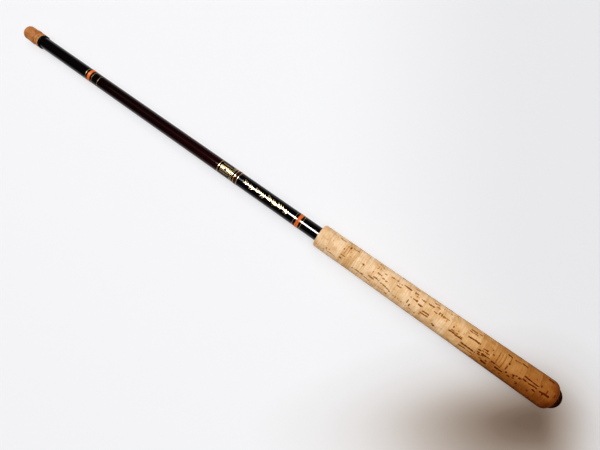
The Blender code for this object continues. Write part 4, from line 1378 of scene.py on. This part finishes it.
class KEIRYU_OT_gold_lines(Operator):
    """The fine gold lines round the butt tube, thin and broad"""
    bl_idname = "keiryu.gold_lines"
    bl_label = "Gold lines"

    def execute(self, context):
        looks = context.scene.keiryu_tube
        tree = line_tree()
        for name, lines, width in (("thin_gold_lines", THIN_LINES, looks.thin_line),
                                   ("broad_gold_lines", BROAD_LINES, looks.broad_line)):
            points = [(MOUTH_X - line * MM, 0.0, AXIS_Z) for line in lines]
            add_gold(name, tree, {"Width": width, "Height": 0.045 * MM}, points)
        return {"FINISHED"}


class KEIRYU_OT_crest(Operator):
    """The tiled gold crest with its two bars, and the band of lozenges beside it"""
    bl_idname = "keiryu.crest"
    bl_label = "Crest and lozenges"

    def execute(self, context):
        tree = tile_tree()
        columns = 10
        pitch = (CREST_TO - CREST_FROM) / columns
        panel = {
            "Centre X": MOUTH_X - (CREST_FROM + CREST_TO) / 2, "Centre arc": 0.2 * MM,
            "Columns": columns, "Rows": 6, "Column pitch": pitch, "Row pitch": 0.98 * MM,
            "Tile length": pitch - 0.28 * MM, "Tile width": 0.80 * MM, "Tile height": 0.08 * MM,
            "Tile turn": 0.0, "Hole length": 1.3 * MM, "Hole width": 0.6 * MM}
        bar = {
            **panel, "Columns": 6, "Rows": 2, "Column pitch": 1.85 * MM, "Row pitch": 0.62 * MM,
            "Tile length": 1.6 * MM, "Tile width": 0.55 * MM, "Hole length": 0.0, "Hole width": 0.0}
        around = 2 * math.pi * tube_radius(MOUTH_X - LOZENGES_AT)
        count = 22
        lozenges = {
            **bar, "Centre X": MOUTH_X - LOZENGES_AT, "Columns": 2, "Rows": count,
            "Column pitch": 1.75 * MM, "Row pitch": around / count, "Tile length": 1.28 * MM,
            "Tile width": 1.28 * MM, "Tile turn": math.radians(45)}
        add_gold("crest_panel", tree, panel)
        add_gold("crest_upper_bar", tree, {**bar, "Centre arc": -4.7 * MM})
        add_gold("crest_lower_bar", tree, {**bar, "Centre arc": 4.6 * MM})
        add_gold("lozenge_band", tree, lozenges)
        return {"FINISHED"}


class KEIRYU_OT_sprigs(Operator):
    """A row of leafy gold sprigs on the black stretch in front of the grip"""
    bl_idname = "keiryu.sprigs"
    bl_label = "Leaf sprigs"

    def execute(self, context):
        count = 8
        step = (SPRIGS_TO - SPRIGS_FROM) / (count - 1)
        points = []
        for index in range(count):
            arc = (0.5 if index % 2 else -0.6) * MM
            points.append((MOUTH_X - SPRIGS_FROM - step * index, arc, 0.0))
        add_gold("leaf_sprigs", sprig_tree(), {
            "Leaf length": 3.4 * MM, "Leaf width": 1.25 * MM, "Leaf height": 0.14 * MM,
            "Leaf angle": math.radians(48), "Leaves": 5, "Stem length": 5.6 * MM, "Seed": 11}, points)
        return {"FINISHED"}


def stage_floor(looks):
    """A pale floor that touches the grip near both of its ends."""
    touch_rear = (GRIP_FRONT_X - GRIP_FULL_AT, 0.0)
    touch_front = (GRIP_FRONT_X - SHOULDER, AXIS_Z - grip_radius(SHOULDER))
    slope = (touch_front[1] - touch_rear[1]) / (touch_front[0] - touch_rear[0])
    half = 6.0
    sunk = 0.02 * MM
    corners = [(x, y, slope * (x - touch_rear[0]) - sunk)
               for x, y in ((-half, -half), (half, -half), (half, half), (-half, half))]
    mesh = bpy.data.meshes.new("floor")
    mesh.from_pydata(corners, [], [(0, 1, 2, 3)])
    made = Finish("pale_floor", looks.floor, 0.9, ior=1.3)
    parts = made.split(made.place)
    # A soft painted shadow beside the butt, as shares of one tint
    turned = made.node("ShaderNodeMapping", {
        "Vector": made.place, "Location": PAINTED_SHADOW_AT, "Rotation": (0.0, 0.0, PAINTED_SHADOW_TURN)},
        vector_type="TEXTURE").outputs["Vector"]
    off = made.split(turned)
    squares = []
    for value, (less, more) in ((off["X"], PAINTED_SHADOW_ALONG), (off["Y"], PAINTED_SHADOW_ACROSS)):
        reach = made.maths("MAXIMUM", made.over(value, more), made.over(value, -less))
        squares.append(made.times(reach, reach))
    apart = made.maths("SQRT", made.plus(*squares))
    apart = made.plus(apart, made.times(made.noise(9.0, 2.0), 0.03))
    stops = [(at, [part ** share for part in looks.floor_shade]) for at, share in PAINTED_SHADOW_SHARES]
    dark = made.ramp(apart, stops)
    # Painted shade: the floor past the butt and beyond it is a little darker
    past = made.plus(made.times(parts["X"], -0.82), made.times(parts["Y"], -0.57))
    past = made.share(past, 0.04, 0.27, 0.0, 0.12)
    colour = made.mix(past, looks.floor, (0.0, 0.0, 0.0))
    colour = made.mix(1.0, colour, dark, "MULTIPLY")
    grain = made.noise(900.0, 3.0, 0.6)
    colour = made.mix(made.share(grain, 0.3, 0.8, 0.0, 0.02), colour, (0.5, 0.5, 0.5))
    made.give("Base Color", colour)
    made.bump(grain, 0.01 * MM, 0.3)
    # What the camera and the gloss see of it is part evenly pale, so that its shadow stays soft
    path = made.node("ShaderNodeLightPath").outputs
    seen = made.maths("MAXIMUM", path["Is Camera Ray"], path["Is Glossy Ray"])
    seen = made.maths("MAXIMUM", seen, path["Is Transmission Ray"])
    glow = made.node("ShaderNodeEmission", {"Color": colour}).outputs["Emission"]
    share = made.times(seen, looks.floor_glow)
    both = made.node("ShaderNodeMixShader", {0: share, 1: made.shader.outputs["BSDF"], 2: glow})
    made.links.new(both.outputs["Shader"], made.nodes["Material Output"].inputs["Surface"])
    floor = new_object("floor", mesh)
    floor.data.materials.append(made.material)


def room_world(looks):
    """A dim room, paler low down. The camera sees a plain pale backdrop instead."""
    world = bpy.data.worlds.new("room")
    world.use_nodes = True
    made = NodeBook(world.node_tree)
    height = made.split(made.node("ShaderNodeTexCoord").outputs["Generated"])["Z"]
    levels = ((0.0, 0.25), (0.22, looks.ceiling), (1.0, looks.ceiling))
    room = made.ramp(height, [(at, (level,) * 3) for at, level in levels])
    seen = made.node("ShaderNodeLightPath").outputs["Is Camera Ray"]
    made.put(made.nodes["Background"], "Color", made.mix(seen, room, (looks.backdrop,) * 3))
    return world


def aimed(at, aim, up):
    """The matrix of a lamp or camera that stands at a place and faces its aim."""
    back = (Vector(at) - Vector(aim)).normalized()
    right = Vector(up).cross(back).normalized()
    turned = Matrix((right, back.cross(right), back)).transposed()
    return Matrix.Translation(at) @ turned.to_4x4()


def stage_lamp(name, at, aim, size, power):
    """A softbox of size (along X, across) that faces its aim."""
    data = bpy.data.lights.new(name, "AREA")
    data.shape = "RECTANGLE"
    data.size, data.size_y = size
    data.energy = power
    lamp = new_object(name, data)
    lamp.matrix_world = aimed(at, aim, (0, 1, 0))
    return lamp


class KEIRYU_OT_stage(Operator):
    """Floor, lamps, room and the photograph's camera"""
    bl_idname = "keiryu.stage"
    bl_label = "Stage"

    def execute(self, context):
        scene = context.scene
        looks = scene.keiryu_stage
        stage_floor(looks)
        for name, power, at, aim, size, hidden_from in LAMPS:
            lamp = stage_lamp(name, at, aim, size, getattr(looks, power))
            if hidden_from:
                setattr(lamp, hidden_from, False)
        scene.world = room_world(looks)

        scene.view_settings.view_transform = "Standard"
        data = bpy.data.cameras.new("camera")
        data.lens = looks.lens
        data.sensor_width = 36
        camera = new_object("camera", data)
        camera.matrix_world = aimed(CAMERA_AT, CAMERA_AIM, CAMERA_UP)
        scene.camera = camera
        return {"FINISHED"}


class KEIRYU_PT_panel(Panel):
    """Lists the looks and the pieces"""
    bl_idname = "KEIRYU_PT_panel"
    bl_label = "Keiryu rod"
    bl_space_type = "VIEW_3D"
    bl_region_type = "UI"
    bl_category = "Keiryu rod"

    def draw(self, context):
        layout = self.layout
        for held, group in GROUPS:
            box = layout.box()
            for name in group.__annotations__:
                box.prop(getattr(context.scene, held), name)
        for operator in OPERATORS:
            layout.operator(operator.bl_idname)


GROUPS = (
    ("keiryu_tube", TubeLooks), ("keiryu_cork", CorkLooks), ("keiryu_ends", EndLooks),
    ("keiryu_stage", StageLooks),
)
OPERATORS = (
    KEIRYU_OT_stage, KEIRYU_OT_butt_tube, KEIRYU_OT_mouth_ring, KEIRYU_OT_grip, KEIRYU_OT_ferrule,
    KEIRYU_OT_cap, KEIRYU_OT_inner_tubes, KEIRYU_OT_tip, KEIRYU_OT_plug, KEIRYU_OT_bands,
    KEIRYU_OT_gold_lines, KEIRYU_OT_crest, KEIRYU_OT_sprigs,
)


def register():
    for name, group in GROUPS:
        bpy.utils.register_class(group)
        setattr(bpy.types.Scene, name, PointerProperty(type=group))
    for operator in OPERATORS:
        bpy.utils.register_class(operator)
    bpy.utils.register_class(KEIRYU_PT_panel)


def unregister():
    bpy.utils.unregister_class(KEIRYU_PT_panel)
    for operator in reversed(OPERATORS):
        bpy.utils.unregister_class(operator)
    for name, group in reversed(GROUPS):
        delattr(bpy.types.Scene, name)
        bpy.utils.unregister_class(group)


def main():
    register()
    make_finishes(bpy.context.scene)
    for operator in OPERATORS:
        group, name = operator.bl_idname.split(".")
        getattr(getattr(bpy.ops, group), name)()


if __name__ == "__main__":
    main()
